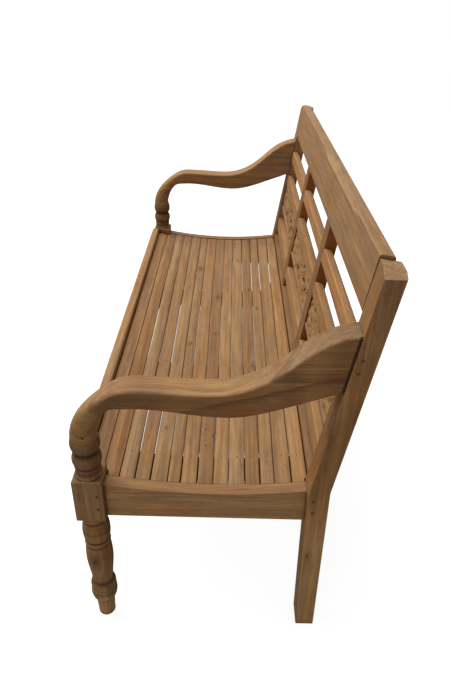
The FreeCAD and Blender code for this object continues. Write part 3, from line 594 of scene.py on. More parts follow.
def knot_masks(tree, vector, place, size):
    """The wider place where the grain bends round a knot, and the knot's dark heart."""
    away = vector_node(tree, "SUBTRACT", vector, place)
    away = vector_node(tree, "MULTIPLY", away, KNOT_STRETCH)
    share = math_node(tree, "DIVIDE", vector_node(tree, "LENGTH", away, None), size)
    bulge = math_node(tree, "EXPONENT", multiply(tree, share, share, -KNOT_BULGE))
    heart = math_node(tree, "EXPONENT", multiply(tree, share, share, -KNOT_TIGHT))
    return bulge, heart


def wander(tree, vector, size):
    """How far the grain wanders sideways, in metres."""
    along, across, reach = size
    swing = subtract(tree, noise(tree, vector, (along, across, across)), 0.5)
    return multiply(tree, swing, reach)


def ring_radius(tree, start):
    """Distance from the heart of the log, with the wander of real grain."""
    vector = start.outputs["Vector"]
    parts = split(tree, vector)
    tilt = multiply(tree, parts["X"], start.outputs["Slope"])
    swing = add(tree, tilt, wander(tree, vector, SLOW_WANDER), wander(tree, vector, FINE_WANDER))
    across = add(tree, parts["Y"], swing, start.outputs["Ring Y"])
    deep = add(tree, parts["Z"], start.outputs["Ring Z"])
    squares = add(tree, multiply(tree, across, across), multiply(tree, deep, deep))
    bend = multiply(tree, start.outputs["Bulge"], KNOT_BEND)
    return add(tree, math_node(tree, "SQRT", squares), bend)


def grain_noise(tree, vector, name):
    """One of the noises of the wood, stretched along the grain."""
    along, across, detail, rough, low, high = NOISES[name]
    return remap(tree, noise(tree, vector, (along, across, across), detail, rough), low, high)


def year_lines(tree, radius):
    """Thin dark line at the end of each year's growth, stronger in some years."""
    uneven = multiply(tree, noise_line(tree, radius, RING_NOISE), RING_UNEVEN)
    count = add(tree, multiply(tree, radius, RINGS_PER_METRE), uneven)
    sharp = math_node(tree, "POWER", math_node(tree, "FRACT", count), RING_SHARPNESS)
    strength = remap(tree, noise_line(tree, radius, STRENGTH_NOISE), *STRENGTH_RANGE, RING_WEAKEST, 1.0)
    return multiply(tree, sharp, strength)


def lay(tree, colour, mask, share, paint):
    """Lay a share of a colour over another where a mask shows it."""
    return mix_colour(tree, multiply(tree, mask, share), colour, paint)


def wood_group():
    """Teak as a node group. Vector runs along the grain in X, in metres."""
    tree = bpy.data.node_groups.new("teak", "ShaderNodeTree")
    for way, kind, names in GROUP_SOCKETS:
        for name in names:
            tree.interface.new_socket(name, in_out=way, socket_type=kind)
    start = tree.nodes.new("NodeGroupInput")
    end = tree.nodes.new("NodeGroupOutput")
    bulge = start.outputs["Bulge"]
    heart = start.outputs["Heart"]
    radius = ring_radius(tree, start)
    bands = remap(tree, noise_line(tree, radius, BAND_NOISE), *BAND_RANGE)
    lines = year_lines(tree, radius)
    masks = {name: grain_noise(tree, start.outputs["Vector"], name) for name in NOISES}
    fibres = masks["fibres"]

    colour = lay(tree, PALE_WOOD, bands, start.outputs["Figure"], BROWN_WOOD)
    colour = lay(tree, colour, masks["red"], start.outputs["Redness"], RED_WOOD)
    colour = lay(tree, colour, masks["grey"], GREY_SHARE, GREY_WOOD)
    colour = lay(tree, colour, masks["orange"], ORANGE_SHARE, ORANGE_WOOD)
    colour = lay(tree, colour, lines, RING_SHARE, DARK_GRAIN)
    colour = lay(tree, colour, masks["streaks"], start.outputs["Streaks"], DARK_GRAIN)
    colour = lay(tree, colour, masks["blotch"], BLOTCH_SHARE, DARK_GRAIN)
    colour = lay(tree, colour, masks["cloud"], CLOUD_SHARE, PALE_WOOD)
    colour = lay(tree, colour, remap(tree, fibres, *FIBRE_RANGE), FIBRE_SHARE, DARK_GRAIN)
    colour = lay(tree, colour, masks["pores"], PORE_SHARE, PORE)
    mottle = remap(tree, masks["mottle"], 0.0, 1.0, *MOTTLE_LEVELS)
    colour = mix_colour(tree, 1.0, colour, mottle, "MULTIPLY")
    halo = remap(tree, subtract(tree, bulge, heart), *HALO_RANGE)
    colour = lay(tree, colour, halo, HALO_SHARE, DARK_GRAIN)
    colour = lay(tree, colour, heart, HEART_SHARE, KNOT_HEART)
    tree.links.new(colour, end.inputs["Color"])

    sunk = add(tree, multiply(tree, masks["pores"], PORE_RELIEF), multiply(tree, lines, RING_RELIEF))
    height = subtract(tree, multiply(tree, fibres, FIBRE_RELIEF), sunk)
    tree.links.new(height, end.inputs["Height"])
    tree.links.new(remap(tree, fibres, *ROUGH_RANGE, *ROUGHNESS), end.inputs["Roughness"])
    return tree


TEAK = wood_group()


def piece_knots(tree, turn, vector, shift, knots):
    """Bulge and heart masks of all knots of a piece; each knot is a place and a size."""
    masks = []
    for place, size in knots:
        spot = Vector(place)
        spot.rotate(turn.inputs["Rotation"].default_value.copy())
        masks.append(knot_masks(tree, vector, spot + Vector((shift, 0.0, 0.0)), size))
    return [highest(tree, kind) for kind in zip(*masks)]


def object_axes(tree):
    """X, Y and Z of the object's own coordinates."""
    return split(tree, tree.nodes.new("ShaderNodeTexCoord").outputs["Object"])


def normal_axes(tree):
    """X, Y and Z of the direction that a face looks in."""
    return split(tree, tree.nodes.new("ShaderNodeNewGeometry").outputs["True Normal"])


def facing_up(tree):
    """From 0 on sides to 1 on faces that look up."""
    return remap(tree, normal_axes(tree)["Z"], *UPWARD_RANGE)


def tint(tone, red):
    """Colour that changes brightness and redness when it is multiplied in."""
    swing = RED_SWING * (red - 1.0)
    return (tone * (1.0 + swing), tone, tone * (1.0 - swing))


def tone_along(tree, colour, value, stops, share=1.0):
    """Change the tone of a colour along one coordinate."""
    node = tree.nodes.new("ShaderNodeValToRGB")
    ramp = node.color_ramp
    first, last = stops[0][0], stops[-1][0]
    for place, *_ in stops[1:-1]:
        ramp.elements.new((place - first) / (last - first))
    for element, (place, tone, red) in zip(ramp.elements, stops):
        element.color = (*(level / TONE_TOP for level in tint(tone, red)), 1.0)
    tree.links.new(remap(tree, value, first, last), node.inputs[0])
    product = vector_node(tree, "MULTIPLY", node.outputs["Color"], (TONE_TOP, TONE_TOP, TONE_TOP))
    return mix_colour(tree, share, colour, product, "MULTIPLY")


def turned_bands(tree, colour, height):
    """Painted shade: dark rings in the grooves of turned work."""
    share = math_node(tree, "DIVIDE", height, LEG_REACH)
    node = tree.nodes.new("ShaderNodeValToRGB")
    ramp = node.color_ramp
    ramp.elements[1].color = (0.0, 0.0, 0.0, 1.0)
    for middle, half, strength in LEG_GROOVE_SHADE:
        for place, value in ((middle - half, 0.0), (middle, strength), (middle + half, 0.0)):
            stop = ramp.elements.new(place / LEG_REACH)
            stop.color = (value, value, value, 1.0)
    tree.links.new(share, node.inputs[0])
    return mix_colour(tree, node.outputs["Color"], colour, DEEP_SHADE)


def turned_leg(tree, colour):
    """Tones and painted shade in the grooves of a front leg."""
    height = object_axes(tree)["Z"]
    return turned_bands(tree, tone_along(tree, colour, height, LEG_TONES), height)


def post_shade_and_end_grain(tree, colour):
    """Painted light and shade on the sides of a back post, paler low down and darker and redder higher up,
    and pale end grain on top.
    """
    up = facing_up(tree)
    side = subtract(tree, 1.0, up)
    colour = tone_along(tree, colour, object_axes(tree)["Z"], POST_SHADE_TONES, side)
    return mix_colour(tree, up, colour, tint(*END_GRAIN), "MULTIPLY")


def divider_side_shade(tree, colour):
    """Painted shade: darker and redder wood on the two sides of a divider, deep between the rails."""
    sideways = math_node(tree, "ABSOLUTE", normal_axes(tree)["X"])
    side = remap(tree, sideways, *SIDEWAYS_RANGE)
    return mix_colour(tree, side, colour, tint(*DIVIDER_SIDE_SHADE), "MULTIPLY")


def growth_line(tree, colour, along, height, side):
    """Dark growth line on the side of the near arm, sharp above and fading below."""
    swing = multiply(tree, noise_line(tree, along, ARM_GRAIN_NOISE), ARM_GRAIN_WANDER)
    rise = multiply(tree, subtract(tree, along, ARM_GRAIN[0]), ARM_GRAIN_RISE)
    line = add(tree, rise, ARM_GRAIN[1] - ARM_GRAIN_WANDER / 2.0, swing)
    below = subtract(tree, line, height)
    edge = remap(tree, below, -ARM_GRAIN_EDGE, 0.0)
    fade = remap(tree, below, 0.0, ARM_GRAIN_WIDTH, ARM_GRAIN_SHARE, 0.0)
    mask = multiply(tree, edge, fade, remap(tree, along, *ARM_GRAIN_START))
    return lay(tree, colour, mask, side, SHADE_AND_GRAIN_BROWN)


def joint_shadow(tree, colour, axes):
    """Painted shadow: dark line where the outer side of an arm stands off its post."""
    rise = subtract(tree, axes["Z"], POST_KNEE[1])
    line = add(tree, multiply(tree, rise, POST_LEAN), POST_KNEE[0])
    away = subtract(tree, line, axes["Y"])
    outer = remap(tree, axes["X"], *(ARM_OUTER_X - depth for depth in JOINT_SHADOW_DEPTH))
    near = remap(tree, away, JOINT_SHADOW_WIDTH / 2.0, JOINT_SHADOW_WIDTH, JOINT_SHADOW_SHARE, 0.0)
    return lay(tree, colour, near, outer, DEEP_SHADE)


def arm_grain_and_shade(tree, colour):
    """Tones along the near arm with painted light and shade on its falling part, its dark growth line and
    the painted shadow of the open joint at its post.
    """
    axes = object_axes(tree)
    along = subtract(tree, axes["Y"], FRONT_Y)
    up = facing_up(tree)
    side = subtract(tree, 1.0, up)
    colour = tone_along(tree, colour, along, ARM_TOP_TONES, up)
    colour = tone_along(tree, colour, along, ARM_SIDE_TONES, side)
    fall = multiply(tree, side, remap(tree, along, *ARM_FALL_END, 1.0, 0.0))
    colour = tone_along(tree, colour, axes["Z"], ARM_FALL_TONES, fall)
    colour = growth_line(tree, colour, along, axes["Z"], side)
    return joint_shadow(tree, colour, axes)


def shade_and_pale_edges(tree, colour, crease_shade, painted_side_light, crease, corner_shade):
    """Painted light and shade: sides take their own brightness, painted shade darkens corners, creases and
    joints, and the sharp edges turn paler.
    """
    side = subtract(tree, 1.0, facing_up(tree))
    # Painted light and shade on the sides: below 1 for shaded sides, above 1 for lit ones
    colour = mix_colour(tree, side, colour, (painted_side_light, painted_side_light, painted_side_light), "MULTIPLY")
    # Painted shade in corners and between parts, where the surface is enclosed within a few centimetres
    if corner_shade > 0.0:
        broad = remap(tree, occlusion(tree, CORNER_SHADE_REACH, False), *CORNER_SHADE_OPEN, corner_shade, 0.0)
        colour = mix_colour(tree, broad, colour, SHADE_AND_GRAIN_BROWN)
    # Painted shade in creases, gaps, grooves and the walls of the pierced holes
    crisp = remap(tree, occlusion(tree, crease, False), *CREASE_OPEN, crease_shade, 0.0)
    colour = mix_colour(tree, crisp, colour, DEEP_SHADE)
    edge = remap(tree, occlusion(tree, EDGE_REACH, True), *EDGE_OPEN, EDGE_SHARE, 0.0)
    return mix_colour(tree, edge, colour, PALE_WOOD)


def cut_from_log(tree, along, knots):
    """The teak group of one piece, with its own place in the log and its knots."""
    link = tree.links.new
    place = tree.nodes.new("ShaderNodeTexCoord")
    turn = tree.nodes.new("ShaderNodeMapping")
    turn.inputs["Rotation"].default_value = ALONG[along]
    link(place.outputs["Object"], turn.inputs["Vector"])
    start_x = rng.uniform(*START_RANGE)
    shifted = vector_node(tree, "ADD", turn.outputs[0], (start_x, 0.0, 0.0))
    group = tree.nodes.new("ShaderNodeGroup")
    group.node_tree = TEAK
    link(shifted, group.inputs["Vector"])
    for name, mask in zip(("Bulge", "Heart"), piece_knots(tree, turn, shifted, start_x, knots)):
        link(mask, group.inputs[name])
    run_out = rng.uniform(*RUN_OUT_RANGE)
    ring_y = rng.choice((-1.0, 1.0)) * rng.uniform(*RING_Y_RANGE)
    group.inputs["Ring Y"].default_value = ring_y - run_out * start_x
    group.inputs["Ring Z"].default_value = rng.uniform(*RING_Z_RANGE)
    group.inputs["Slope"].default_value = run_out
    return group


def add_surface(tree, colour, group):
    """Shader of sawn teak with the fine relief of its grain."""
    link = tree.links.new
    shade = tree.nodes.new("ShaderNodeBsdfPrincipled")
    link(colour, shade.inputs["Base Color"])
    link(group.outputs["Roughness"], shade.inputs["Roughness"])
    shade.inputs["Specular IOR Level"].default_value = SHINE
    bump = tree.nodes.new("ShaderNodeBump")
    bump.inputs["Strength"].default_value = RELIEF_STRENGTH
    bump.inputs["Distance"].default_value = RELIEF_DEPTH
    link(group.outputs["Height"], bump.inputs["Height"])
    link(bump.outputs[0], shade.inputs["Normal"])
    out = tree.nodes.new("ShaderNodeOutputMaterial")
    link(shade.outputs[0], out.inputs["Surface"])


def wood(name, along, tone=1.0, red=1.0, figure=0.8, streaks=0.35, knots=(), crease_shade=0.95, painted_side_light=1.0,
         crease=0.0055, corner_shade=0.40, detail=None):
    """One piece's own teak; detail is a function that paints what only this piece has."""
    material = bpy.data.materials.new(name)
    material.use_nodes = True
    tree = material.node_tree
    tree.nodes.clear()
    group = cut_from_log(tree, along, knots)
    group.inputs["Figure"].default_value = figure
    group.inputs["Streaks"].default_value = streaks
    group.inputs["Redness"].default_value = RED_SHARE * red
    colour = mix_colour(tree, 1.0, group.outputs["Color"], tint(tone, red), "MULTIPLY")
    # Painted light and shade on the sides, painted shade in corners and creases, and paler sharp edges
    colour = shade_and_pale_edges(tree, colour, crease_shade, painted_side_light, crease, corner_shade)
    if detail is not None:
        colour = detail(tree, colour)
    add_surface(tree, colour, group)
    return material


def dress(node, material):
    """Give a CAD node one material."""
    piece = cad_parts[node]
    piece.data.materials.clear()
    piece.data.materials.append(material)


def dress_frame():
    """Materials of every CAD node that stays as it is."""
    for side in ("left", "right"):
        near = side == "left"
        dress("front_leg_" + side, wood(
            "leg_" + side, "z", tone=1.12, red=1.02, figure=0.9, knots=LEG_KNOTS if near else (),
            painted_side_light=0.84, crease=0.010, detail=turned_leg))
        dress("arm_" + side, wood(
            "arm_" + side, "y", tone=0.97, red=1.08, figure=0.9, streaks=0.30,
            painted_side_light=0.66 if near else 0.72, detail=arm_grain_and_shade if near else None))
        dress("end_rail_" + side, wood("end_rail_" + side, "y", red=1.04, painted_side_light=1.10))
        dress("back_post_" + side, wood(
            "post_" + side, "z", tone=1.04, red=1.05, streaks=0.45, knots=POST_KNOTS if near else (),
            painted_side_light=1.15, detail=post_shade_and_end_grain))
        dress("divider_" + side, wood(
            "divider_" + side, "z", tone=0.76, red=1.3, figure=0.6, painted_side_light=0.75, corner_shade=0.8,
            detail=divider_side_shade))
    dress("front_rail", wood("front_rail", "x", tone=0.98, red=1.12, figure=0.7, corner_shade=0.2))
    dress("back_rail", wood("back_rail", "x", tone=0.85, figure=0.7))
    dress("crest_rail", wood(
        "crest_rail", "back", tone=0.95, red=1.02, figure=0.50, streaks=0.22, painted_side_light=0.86))
    for bay in BAYS:
        for level in ("upper", "middle", "lower"):
            node = "rail_%s_%s" % (level, bay)
            dress(node, wood(node, "back", tone=rng.uniform(*RAIL_TONES), red=rng.uniform(*RAIL_REDS),
                             figure=0.6, streaks=0.25, corner_shade=0.7))
    for number in range(1, len(PIN_X) + 1):
        node = "bearer_%d" % number
        dress(node, wood(node, "y", tone=0.7, figure=0.6))
    dress("joint_pegs", wood("peg_ends", "x", tone=0.30, figure=0.4))


def new_piece(name, vertices, faces, material, nodes, sharp_angle=SHARP_ANGLE):
    """A mesh piece without loose points that rides on the bench and stands for CAD nodes."""
    mesh = bpy.data.meshes.new(name)
    mesh.from_pydata([tuple(v) for v in vertices], [], faces)
    mesh.update()
    piece = bpy.data.objects.new(name, mesh)
    bpy.context.scene.collection.objects.link(piece)
    work = bmesh.new()
    work.from_mesh(mesh)
    bmesh.ops.delete(work, geom=[v for v in work.verts if not v.link_faces], context="VERTS")
    bmesh.ops.recalc_face_normals(work, faces=work.faces)
    work.to_mesh(mesh)
    work.free()
    mesh.shade_smooth()
    mesh.set_sharp_from_angle(angle=math.radians(sharp_angle))
    mesh.materials.append(material)
    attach(piece, "root")
    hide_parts(*nodes)
    return piece


def loft(rings):
    """Vertices and faces of a bar through rings of equal length, closed at both ends."""
    count = len(rings[0])
    vertices = [point for ring in rings for point in ring]
    faces = []
    for i in range(len(rings) - 1):
        for j in range(count):
            k = (j + 1) % count
            faces.append((i * count + j, i * count + k, (i + 1) * count + k, (i + 1) * count + j))
    faces.append(tuple(range(count)))
    last = (len(rings) - 1) * count
    faces.append(tuple(last + j for j in reversed(range(count))))
    return vertices, faces


def seat_z(y):
    """Height of the dished seat."""
    return DISH_LOW + DISH_RISE * ((y - DISH_Y) / DISH_REACH) ** 2


def wave(terms, x):
    """Slow wobble made of a few sine terms."""
    return sum(size * math.sin(x * rate + turn) for size, rate, turn in terms)


def wobble(source, size):
    """Sine terms for a wobble of about this size along the bench."""
    ranges = (WOBBLE_RATES, WOBBLE_STARTS)
    return [(size * source.uniform(*WOBBLE_SIZES), *(source.uniform(*pair) for pair in ranges))
            for _ in range(WOBBLE_TERMS)]


def slat_section(x, y0, y1, lean0, lean1, lift, crown, inset):
    """Outline of a slat at one place along the bench; lean is how far each side runs in below."""
    def top(y):
        share = (y - y0) / (y1 - y0)
        line = seat_z(y0) + (seat_z(y1) - seat_z(y0)) * share
        return line + lift + crown * (1.0 - (2.0 * share - 1.0) ** 2)

    def rounding(edge, way):
        corner = []
        for i in range(SLAT_ROUND_STEPS + 1):
            a = math.pi / 2.0 * i / SLAT_ROUND_STEPS
            y = edge + way * SLAT_ROUND * (1.0 - math.sin(a))
            corner.append((x, y, top(y) - inset - SLAT_ROUND * (1.0 - math.cos(a))))
        return corner

    middle = [y0 + (y1 - y0) * share for share in SLAT_TOP_SHARES]
    depth = SLAT_T - SLAT_ROOM - inset
    return rounding(y0 + inset, 1.0)[::-1] + [(x, y, top(y) - inset) for y in middle] + [
        *rounding(y1 - inset, -1.0),
        (x, y1 - inset, top(y1) - SLAT_STRAIGHT),
        (x, y1 - inset - lean1, top(y1) - depth),
        (x, y0 + inset + lean0, top(y0) - depth),
        (x, y0 + inset, top(y0) - SLAT_STRAIGHT),
    ]


def past(x, line):
    """How far a place lies past a bearer, from 0 to 1 over a short stretch."""
    return min(max((x - line) / GAP_BLEND + 0.5, 0.0), 1.0)


def joint_gap(index, x):
    """Gap behind a slat at a place along the bench."""
    gaps = SLAT_GAPS[index - 1]
    width = gaps[0]
    for before, after, line in zip(gaps, gaps[1:], PIN_X[1:]):
        width += (after - before) * past(x, line)
    return width


def joint_lean(index, x):
    """How far the slat sides at a joint run in below; past the last bearer they close up."""
    if index < 1 or index >= SLAT_COUNT:
        return SLAT_FREE_LEAN
    end = past(x, PIN_X[-1])
    return SLAT_UNDERCUT * (1.0 - end) - (joint_gap(index, x) / 2.0 - SLAT_LEAST_GAP) * end


def joint_line(index, x):
    """The wavering middle line of the gap behind a slat."""
    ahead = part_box("slat_%02d" % index)[1].y
    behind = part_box("slat_%02d" % (index + 1))[0].y
    return (ahead + behind) / 2.0 + wave(wobble(random.Random(JOINT_SEED + index), JOINT_WOBBLE), x)


def slat_limits(index, low, high, x):
    """Front and back edge of a slat, cut back round the leg blocks and posts."""
    y0 = low if index == 1 else joint_line(index - 1, x) + joint_gap(index - 1, x) / 2.0
    y1 = high if index == SLAT_COUNT else joint_line(index, x) - joint_gap(index, x) / 2.0
    if index == LEG_SLAT and abs(x) > LEG_NOTCH_X:
        y0 = max(y0, LEG_NOTCH_Y)
    if index == SLAT_COUNT and abs(x) > POST_NOTCH_X:
        y1 = min(y1, POST_NOTCH_Y)
    return y0, y1


def notch_places(x):
    """Rings on both sides of the step where a slat is cut back."""
    return [-x - NOTCH_STEP, -x, x, x + NOTCH_STEP]


def make_slat(index):
    """One seat slat: eased edges, a slight crown and the wobble of sawn stock."""
    node = "slat_%02d" % index
    low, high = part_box(node)
    source = random.Random(SLAT_SEED + index)
    reach = high.x
    places = [reach * (2.0 * i / (SLAT_STATIONS - 1) - 1.0) for i in range(SLAT_STATIONS)]
    if index == LEG_SLAT:
        places += notch_places(LEG_NOTCH_X)
    if index == SLAT_COUNT:
        places += notch_places(POST_NOTCH_X)
    places += [-reach + SLAT_END_LENGTH, reach - SLAT_END_LENGTH]
    level = wobble(source, LEVEL_WOBBLE)
    crown = source.uniform(0.0, HIGHEST_CROWN)
    rings = []
    for x in sorted(set(places)):
        y0, y1 = slat_limits(index, low.y, high.y, x)
        inset = SLAT_END_EASE if abs(x) >= reach else 0.0
        lean0, lean1 = joint_lean(index - 1, x), joint_lean(index, x)
        rings.append(slat_section(x, y0, y1, lean0, lean1, wave(level, x) - SLAT_ROOM, crown, inset))
    vertices, faces = loft(rings)
    tone, red = SLAT_TONES[index - 1]
    knots = []
    for along, share, size in SLAT_KNOTS.get(index, []):
        y = low.y + (high.y - low.y) * share
        knots.append(((along, y, seat_z(y)), size))
    material = wood(node + "_wood", "x", tone=tone, red=red, streaks=0.55, knots=knots, crease=0.0045,
                    corner_shade=0.0)
    piece = new_piece("seat_" + node, vertices, faces, material, [node])


def make_pin_heads():
    """Heads of the pins that hold the slats, a hair above the wood."""
    vertices = []
    faces = []
    for index in range(1, SLAT_COUNT + 1):
        low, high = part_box("slat_%02d" % index)
        y = (low.y + high.y) / 2.0
        z = (seat_z(low.y) + seat_z(high.y)) / 2.0
        for x in PIN_X:
            rings = []
            for share, lift in PIN_RINGS:
                turns = [2.0 * math.pi * i / PIN_SIDES for i in range(PIN_SIDES)]
                radius = PIN_R * share
                rings.append([(x + radius * math.cos(a), y + radius * math.sin(a), z + lift) for a in turns])
            first = len(vertices)
            head, sides = loft(rings)
            vertices += head
            faces += [tuple(first + corner for corner in face) for face in sides]
    material = wood("pin_wood", "z", tone=0.42, figure=0.4)
    piece = new_piece("pin_heads", vertices, faces, material, ["slat_pins"])


def back_point(x, n, s):
    """A point of the raked back."""
    c, d = math.cos(RAKE), math.sin(RAKE)
    return (x, BACK_Y + n * c + s * d, BACK_Z - n * d + s * c)


def leaf_field(x, s, spec, bay, side):
    """Along, across and half width of a leaf at the given points, in its own frame."""
    share, lift, length, width, angle = spec
    centre_x = (bay[0] + bay[1]) / 2.0 + side * share * (bay[1] - bay[0]) / 2.0
    centre_s = PANEL_MIDDLE + lift * PANEL_HEIGHT
    a = math.radians(side * angle)
    dx, ds = x - centre_x, s - centre_s
    u = (dx * math.cos(a) + ds * math.sin(a)) * 2.0 / (length * PANEL_HEIGHT)
    v = -dx * math.sin(a) + ds * math.cos(a)
    return u * side, v, width * PANEL_HEIGHT / 2.0


def leaf_relief(x, s, spec, bay, side):
    """Height of one carved leaf: a domed blade with a midrib and side veins."""
    u, v, half = leaf_field(x, s, spec, bay, side)
    inside = np.clip(1.0 - u * u, 0.0, 1.0)
    edge = half * inside ** LEAF_POINT * (1.0 + LEAF_EDGE_WAVE * np.sin(u * LEAF_EDGE_RATE))
    share = np.abs(v) / np.maximum(edge, LEAST_WIDTH)
    dome = np.sqrt(np.clip(1.0 - share ** LEAF_SHOULDER, 0.0, 1.0)) * inside ** LEAF_ENDS
    rib = np.exp(-(v / LEAF_RIB_WIDTH) ** 2) * LEAF_RIB_DEPTH
    fan = np.sin((u * LEAF_VEIN_RATE - share * LEAF_VEIN_SLANT) * math.pi)
    veins = LEAF_VEIN_DEPTH * fan * np.clip(share, 0.0, 1.0)
    return np.where(share < 1.0, dome * (LEAF_TOP - rib + veins), 0.0)


def hole_field(x, s, bay):
    """Below zero inside a pierced hole, in metres from its edge."""
    field = np.full_like(x, 1.0)
    for side in (-1.0, 1.0):
        for spec in PIERCINGS:
            u, v, half = leaf_field(x, s, spec, bay, side)
            size = np.sqrt(u * u + (v / half) ** 2) - 1.0
            field = np.minimum(field, size * half)
    return field


def flower_relief(x, s, bay):
    """Height of the flower in the middle of a bay."""
    dx = x - (bay[0] + bay[1]) / 2.0
    ds = s - PANEL_MIDDLE
    away = np.sqrt(dx * dx + ds * ds) / PANEL_HEIGHT
    turn = np.arctan2(ds, dx)
    relief = np.zeros_like(x)
    for i in range(PETALS):
        a = 2.0 * math.pi * i / PETALS
        u = (away * np.cos(turn - a) - PETAL_AWAY) * 2.0 / PETAL_LENGTH
        v = away * np.sin(turn - a)
        inside = np.clip(1.0 - u * u, 0.0, 1.0)
        share = np.abs(v) / np.maximum(PETAL_WIDTH / 2.0 * inside ** PETAL_POINT, LEAST_WIDTH)
        fold = PETAL_FOLD_DEPTH * np.exp(-(v / PETAL_FOLD_WIDTH) ** 2)
        petal = np.sqrt(np.clip(1.0 - share ** 2, 0.0, 1.0)) * (PETAL_TOP - fold)
        relief = np.maximum(relief, np.where(share < 1.0, petal, 0.0))
    button = np.clip(1.0 - (away / BUTTON) ** 2, 0.0, 1.0) ** 0.5
    groove = np.exp(-((away - BUTTON * BUTTON_GROOVE_AWAY) / BUTTON_GROOVE_WIDTH) ** 2) * BUTTON_GROOVE_DEPTH
    return np.maximum(relief * (1.0 - groove), button)


def stem_relief(x, s, bay):
    """Height of the winding stem that the leaves grow from."""
    along = np.abs(x - (bay[0] + bay[1]) / 2.0) / ((bay[1] - bay[0]) / 2.0)
    swing = np.sin(along * STEM_RATE) * np.clip((along - STEM_STRAIGHT) * STEM_GROWTH, 0.0, 1.0)
    away = np.abs(s - PANEL_MIDDLE + PANEL_HEIGHT * STEM_SWING * swing) / STEM_HALF
    begin = np.clip((along - STEM_REACH[0]) * STEM_FADE, 0.0, 1.0)
    end = np.clip((STEM_REACH[1] - along) * STEM_FADE, 0.0, 1.0)
    return np.sqrt(np.clip(1.0 - away * away, 0.0, 1.0)) * STEM_TOP * begin * end


def carving(x, s, bay):
    """Height of the carving above the ground, from 0 to 1."""
    relief = np.maximum(flower_relief(x, s, bay), stem_relief(x, s, bay))
    for side in (-1.0, 1.0):
        for spec in LEAVES + SPROUTS:
            relief = np.maximum(relief, leaf_relief(x, s, spec, bay, side))
    inner = np.minimum(s - PANEL_S[0], PANEL_S[1] - s)
    border = np.clip((BORDER_WIDTH - inner) / BORDER_SLOPE, 0.0, 1.0)
    bead = 1.0 - BEAD_DEPTH * (1.0 - np.cos((inner / BORDER_WIDTH - 0.5) * BEAD_RATE))
    relief = np.maximum(relief, border * bead)
    sunk = np.clip(1.0 - hole_field(x, s, bay) / RIM_WIDTH, 0.0, 1.0) ** 2
    return relief * (1.0 - RIM_WEAR * sunk) - RIM_DEPTH * sunk


def snap_to_hole(x, s, bay):
    """Move grid points that lie next to a hole's edge onto it."""
    for _ in range(SNAP_ROUNDS):
        field = hole_field(x, s, bay)
        gx = (hole_field(x + SNAP_STEP, s, bay) - field) / SNAP_STEP
        gs = (hole_field(x, s + SNAP_STEP, bay) - field) / SNAP_STEP
        size = np.maximum(gx * gx + gs * gs, LEAST_SLOPE)
        near = np.abs(field) < PANEL_STEP * SNAP_REACH
        x = x - np.where(near, field * gx / size, 0.0)
        s = s - np.where(near, field * gs / size, 0.0)
    return x, s


def make_panel(bay_name):
    """One carved openwork panel: leaves, stem and flower in relief, pierced between."""
    bay = BAYS[bay_name]
    columns = int((bay[1] - bay[0]) / PANEL_STEP) + 1
    rows = int(PANEL_HEIGHT / PANEL_STEP) + 1
    xs, ss = np.meshgrid(np.linspace(bay[0], bay[1], columns), np.linspace(*PANEL_S, rows), indexing="ij")
    xs, ss = snap_to_hole(xs, ss, bay)
    relief = carving(xs, ss, bay)
    depth = PANEL_GROUND - (PANEL_GROUND - PANEL_FACE) * relief
    open_cell = hole_field((xs[:-1, :-1] + xs[1:, 1:]) / 2.0, (ss[:-1, :-1] + ss[1:, 1:]) / 2.0, bay) < 0.0
    front = [back_point(x, n, s) for x, n, s in zip(xs.ravel(), depth.ravel(), ss.ravel())]
    rear = [back_point(x, PANEL_BACK, s) for x, s in zip(xs.ravel(), ss.ravel())]
    count = len(front)
    faces = []

    def solid(i, j):
        return 0 <= i < columns - 1 and 0 <= j < rows - 1 and not open_cell[i, j]

    for i in range(columns - 1):
        for j in range(rows - 1):
            if not solid(i, j):
                continue
            a, b = i * rows + j, (i + 1) * rows + j
            c, d = b + 1, a + 1
            faces.append((a, b, c, d))
            faces.append((count + d, count + c, count + b, count + a))
            for p, q, di, dj in ((a, b, 0, -1), (b, c, 1, 0), (c, d, 0, 1), (d, a, -1, 0)):
                if not solid(i + di, j + dj):
                    faces.append((q, p, count + p, count + q))
    material = wood("panel_%s_wood" % bay_name, "back", tone=0.88, red=1.12, figure=0.4, streaks=0.25,
                    crease_shade=1.0, crease=0.009)
    node = "panel_" + bay_name
    piece = new_piece("carved_" + bay_name, front + rear, faces, material, [node], CARVED_SHARP_ANGLE)


def add_camera():
    """Camera at the photograph's place, with the same turn, tilt and crop."""
    ahead = Vector((
        -math.cos(CAMERA_PITCH) * math.cos(CAMERA_YAW),
        -math.cos(CAMERA_PITCH) * math.sin(CAMERA_YAW),
        -math.sin(CAMERA_PITCH),
    ))
    level = ahead.cross(Vector((0, 0, 1))).normalized()
    above = level.cross(ahead)
    turn_c = math.cos(CAMERA_ROLL)
    turn_s = math.sin(CAMERA_ROLL)
    right = turn_c * level + turn_s * above
    up = -turn_s * level + turn_c * above
    data = bpy.data.cameras.new("camera")
    data.sensor_fit = "VERTICAL"
    data.sensor_height = SENSOR
    data.lens = SENSOR * FOCAL_PX / IMAGE_H
    data.shift_x = (IMAGE_W / 2.0 - CENTRE_PX[0]) / IMAGE_H
    data.shift_y = (CENTRE_PX[1] - IMAGE_H / 2.0) / IMAGE_H
    data.clip_end = CAMERA_REACH
    camera = bpy.data.objects.new("camera", data)
    bpy.context.scene.collection.objects.link(camera)
    rows = [[right[i], up[i], -ahead[i], CAMERA_PLACE[i]] for i in range(3)] + [[0, 0, 0, 1]]
    camera.matrix_world = Matrix(rows)
    bpy.context.scene.camera = camera


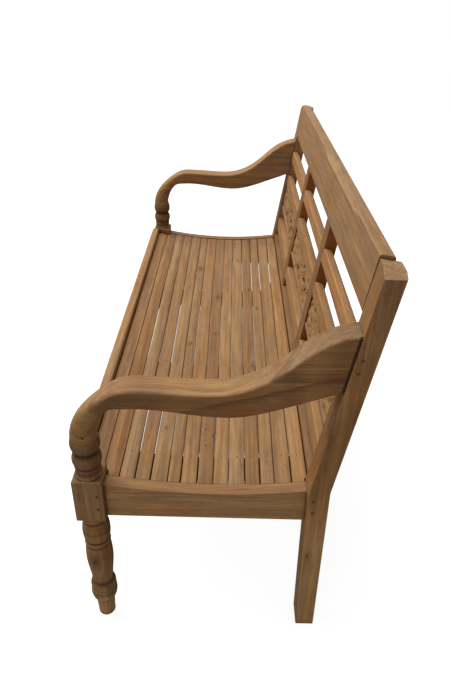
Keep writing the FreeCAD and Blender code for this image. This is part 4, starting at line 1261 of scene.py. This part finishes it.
def add_area(name, place, aim, size, power):
    """A soft square lamp turned towards a point."""
    data = bpy.data.lights.new(name, "AREA")
    data.shape = "SQUARE"
    data.size = size
    data.energy = power
    lamp = bpy.data.objects.new(name, data)
    bpy.context.scene.collection.objects.link(lamp)
    lamp.location = place
    lamp.rotation_euler = (Vector(aim) - Vector(place)).to_track_quat("-Z", "Y").to_euler()


def add_light():
    """Large soft lamps, and an even pale world that shows white."""
    for name, (place, aim, size, power) in LAMPS.items():
        add_area(name, place, aim, size, power)
    world = bpy.data.worlds.new("world")
    world.use_nodes = True
    bpy.context.scene.world = world
    tree = world.node_tree
    tree.nodes.clear()
    path = tree.nodes.new("ShaderNodeLightPath")
    rays = ("Is Camera Ray", "Is Glossy Ray", "Is Transmission Ray")
    seen = highest(tree, [path.outputs[ray] for ray in rays])
    back = tree.nodes.new("ShaderNodeBackground")
    back.inputs["Color"].default_value = WHITE
    tree.links.new(remap(tree, seen, 0.0, 1.0, WORLD_LIGHT, 1.0), back.inputs["Strength"])
    out = tree.nodes.new("ShaderNodeOutputWorld")
    tree.links.new(back.outputs[0], out.inputs["Surface"])


def add_floor():
    """Pale floor that shows white and sends little light back."""
    mesh = bpy.data.meshes.new("floor")
    corners = [(x * FLOOR_REACH, y * FLOOR_REACH, 0) for x, y in ((-1, -1), (1, -1), (1, 1), (-1, 1))]
    mesh.from_pydata(corners, [], [(0, 1, 2, 3)])
    floor = bpy.data.objects.new("floor", mesh)
    bpy.context.scene.collection.objects.link(floor)
    material = bpy.data.materials.new("floor")
    material.use_nodes = True
    tree = material.node_tree
    shade = tree.nodes["Principled BSDF"]
    shade.inputs["Roughness"].default_value = FLOOR_ROUGHNESS
    shade.inputs["Specular IOR Level"].default_value = FLOOR_SHINE
    path = tree.nodes.new("ShaderNodeLightPath")
    seen = path.outputs["Is Camera Ray"]
    tree.links.new(mix_colour(tree, seen, FLOOR_GREY, FLOOR_SEEN_GREY), shade.inputs["Base Color"])
    tree.links.new(remap(tree, seen, 0.0, 1.0, 0.0, FLOOR_SEEN_GLOW), shade.inputs["Emission Strength"])
    shade.inputs["Emission Color"].default_value = WHITE
    mesh.materials.append(material)


add_camera()
dress_frame()
for number in range(1, SLAT_COUNT + 1):
    make_slat(number)
make_pin_heads()
for bay_name in BAYS:
    make_panel(bay_name)
add_light()
add_floor()
bpy.context.scene.view_settings.view_transform = "Standard"
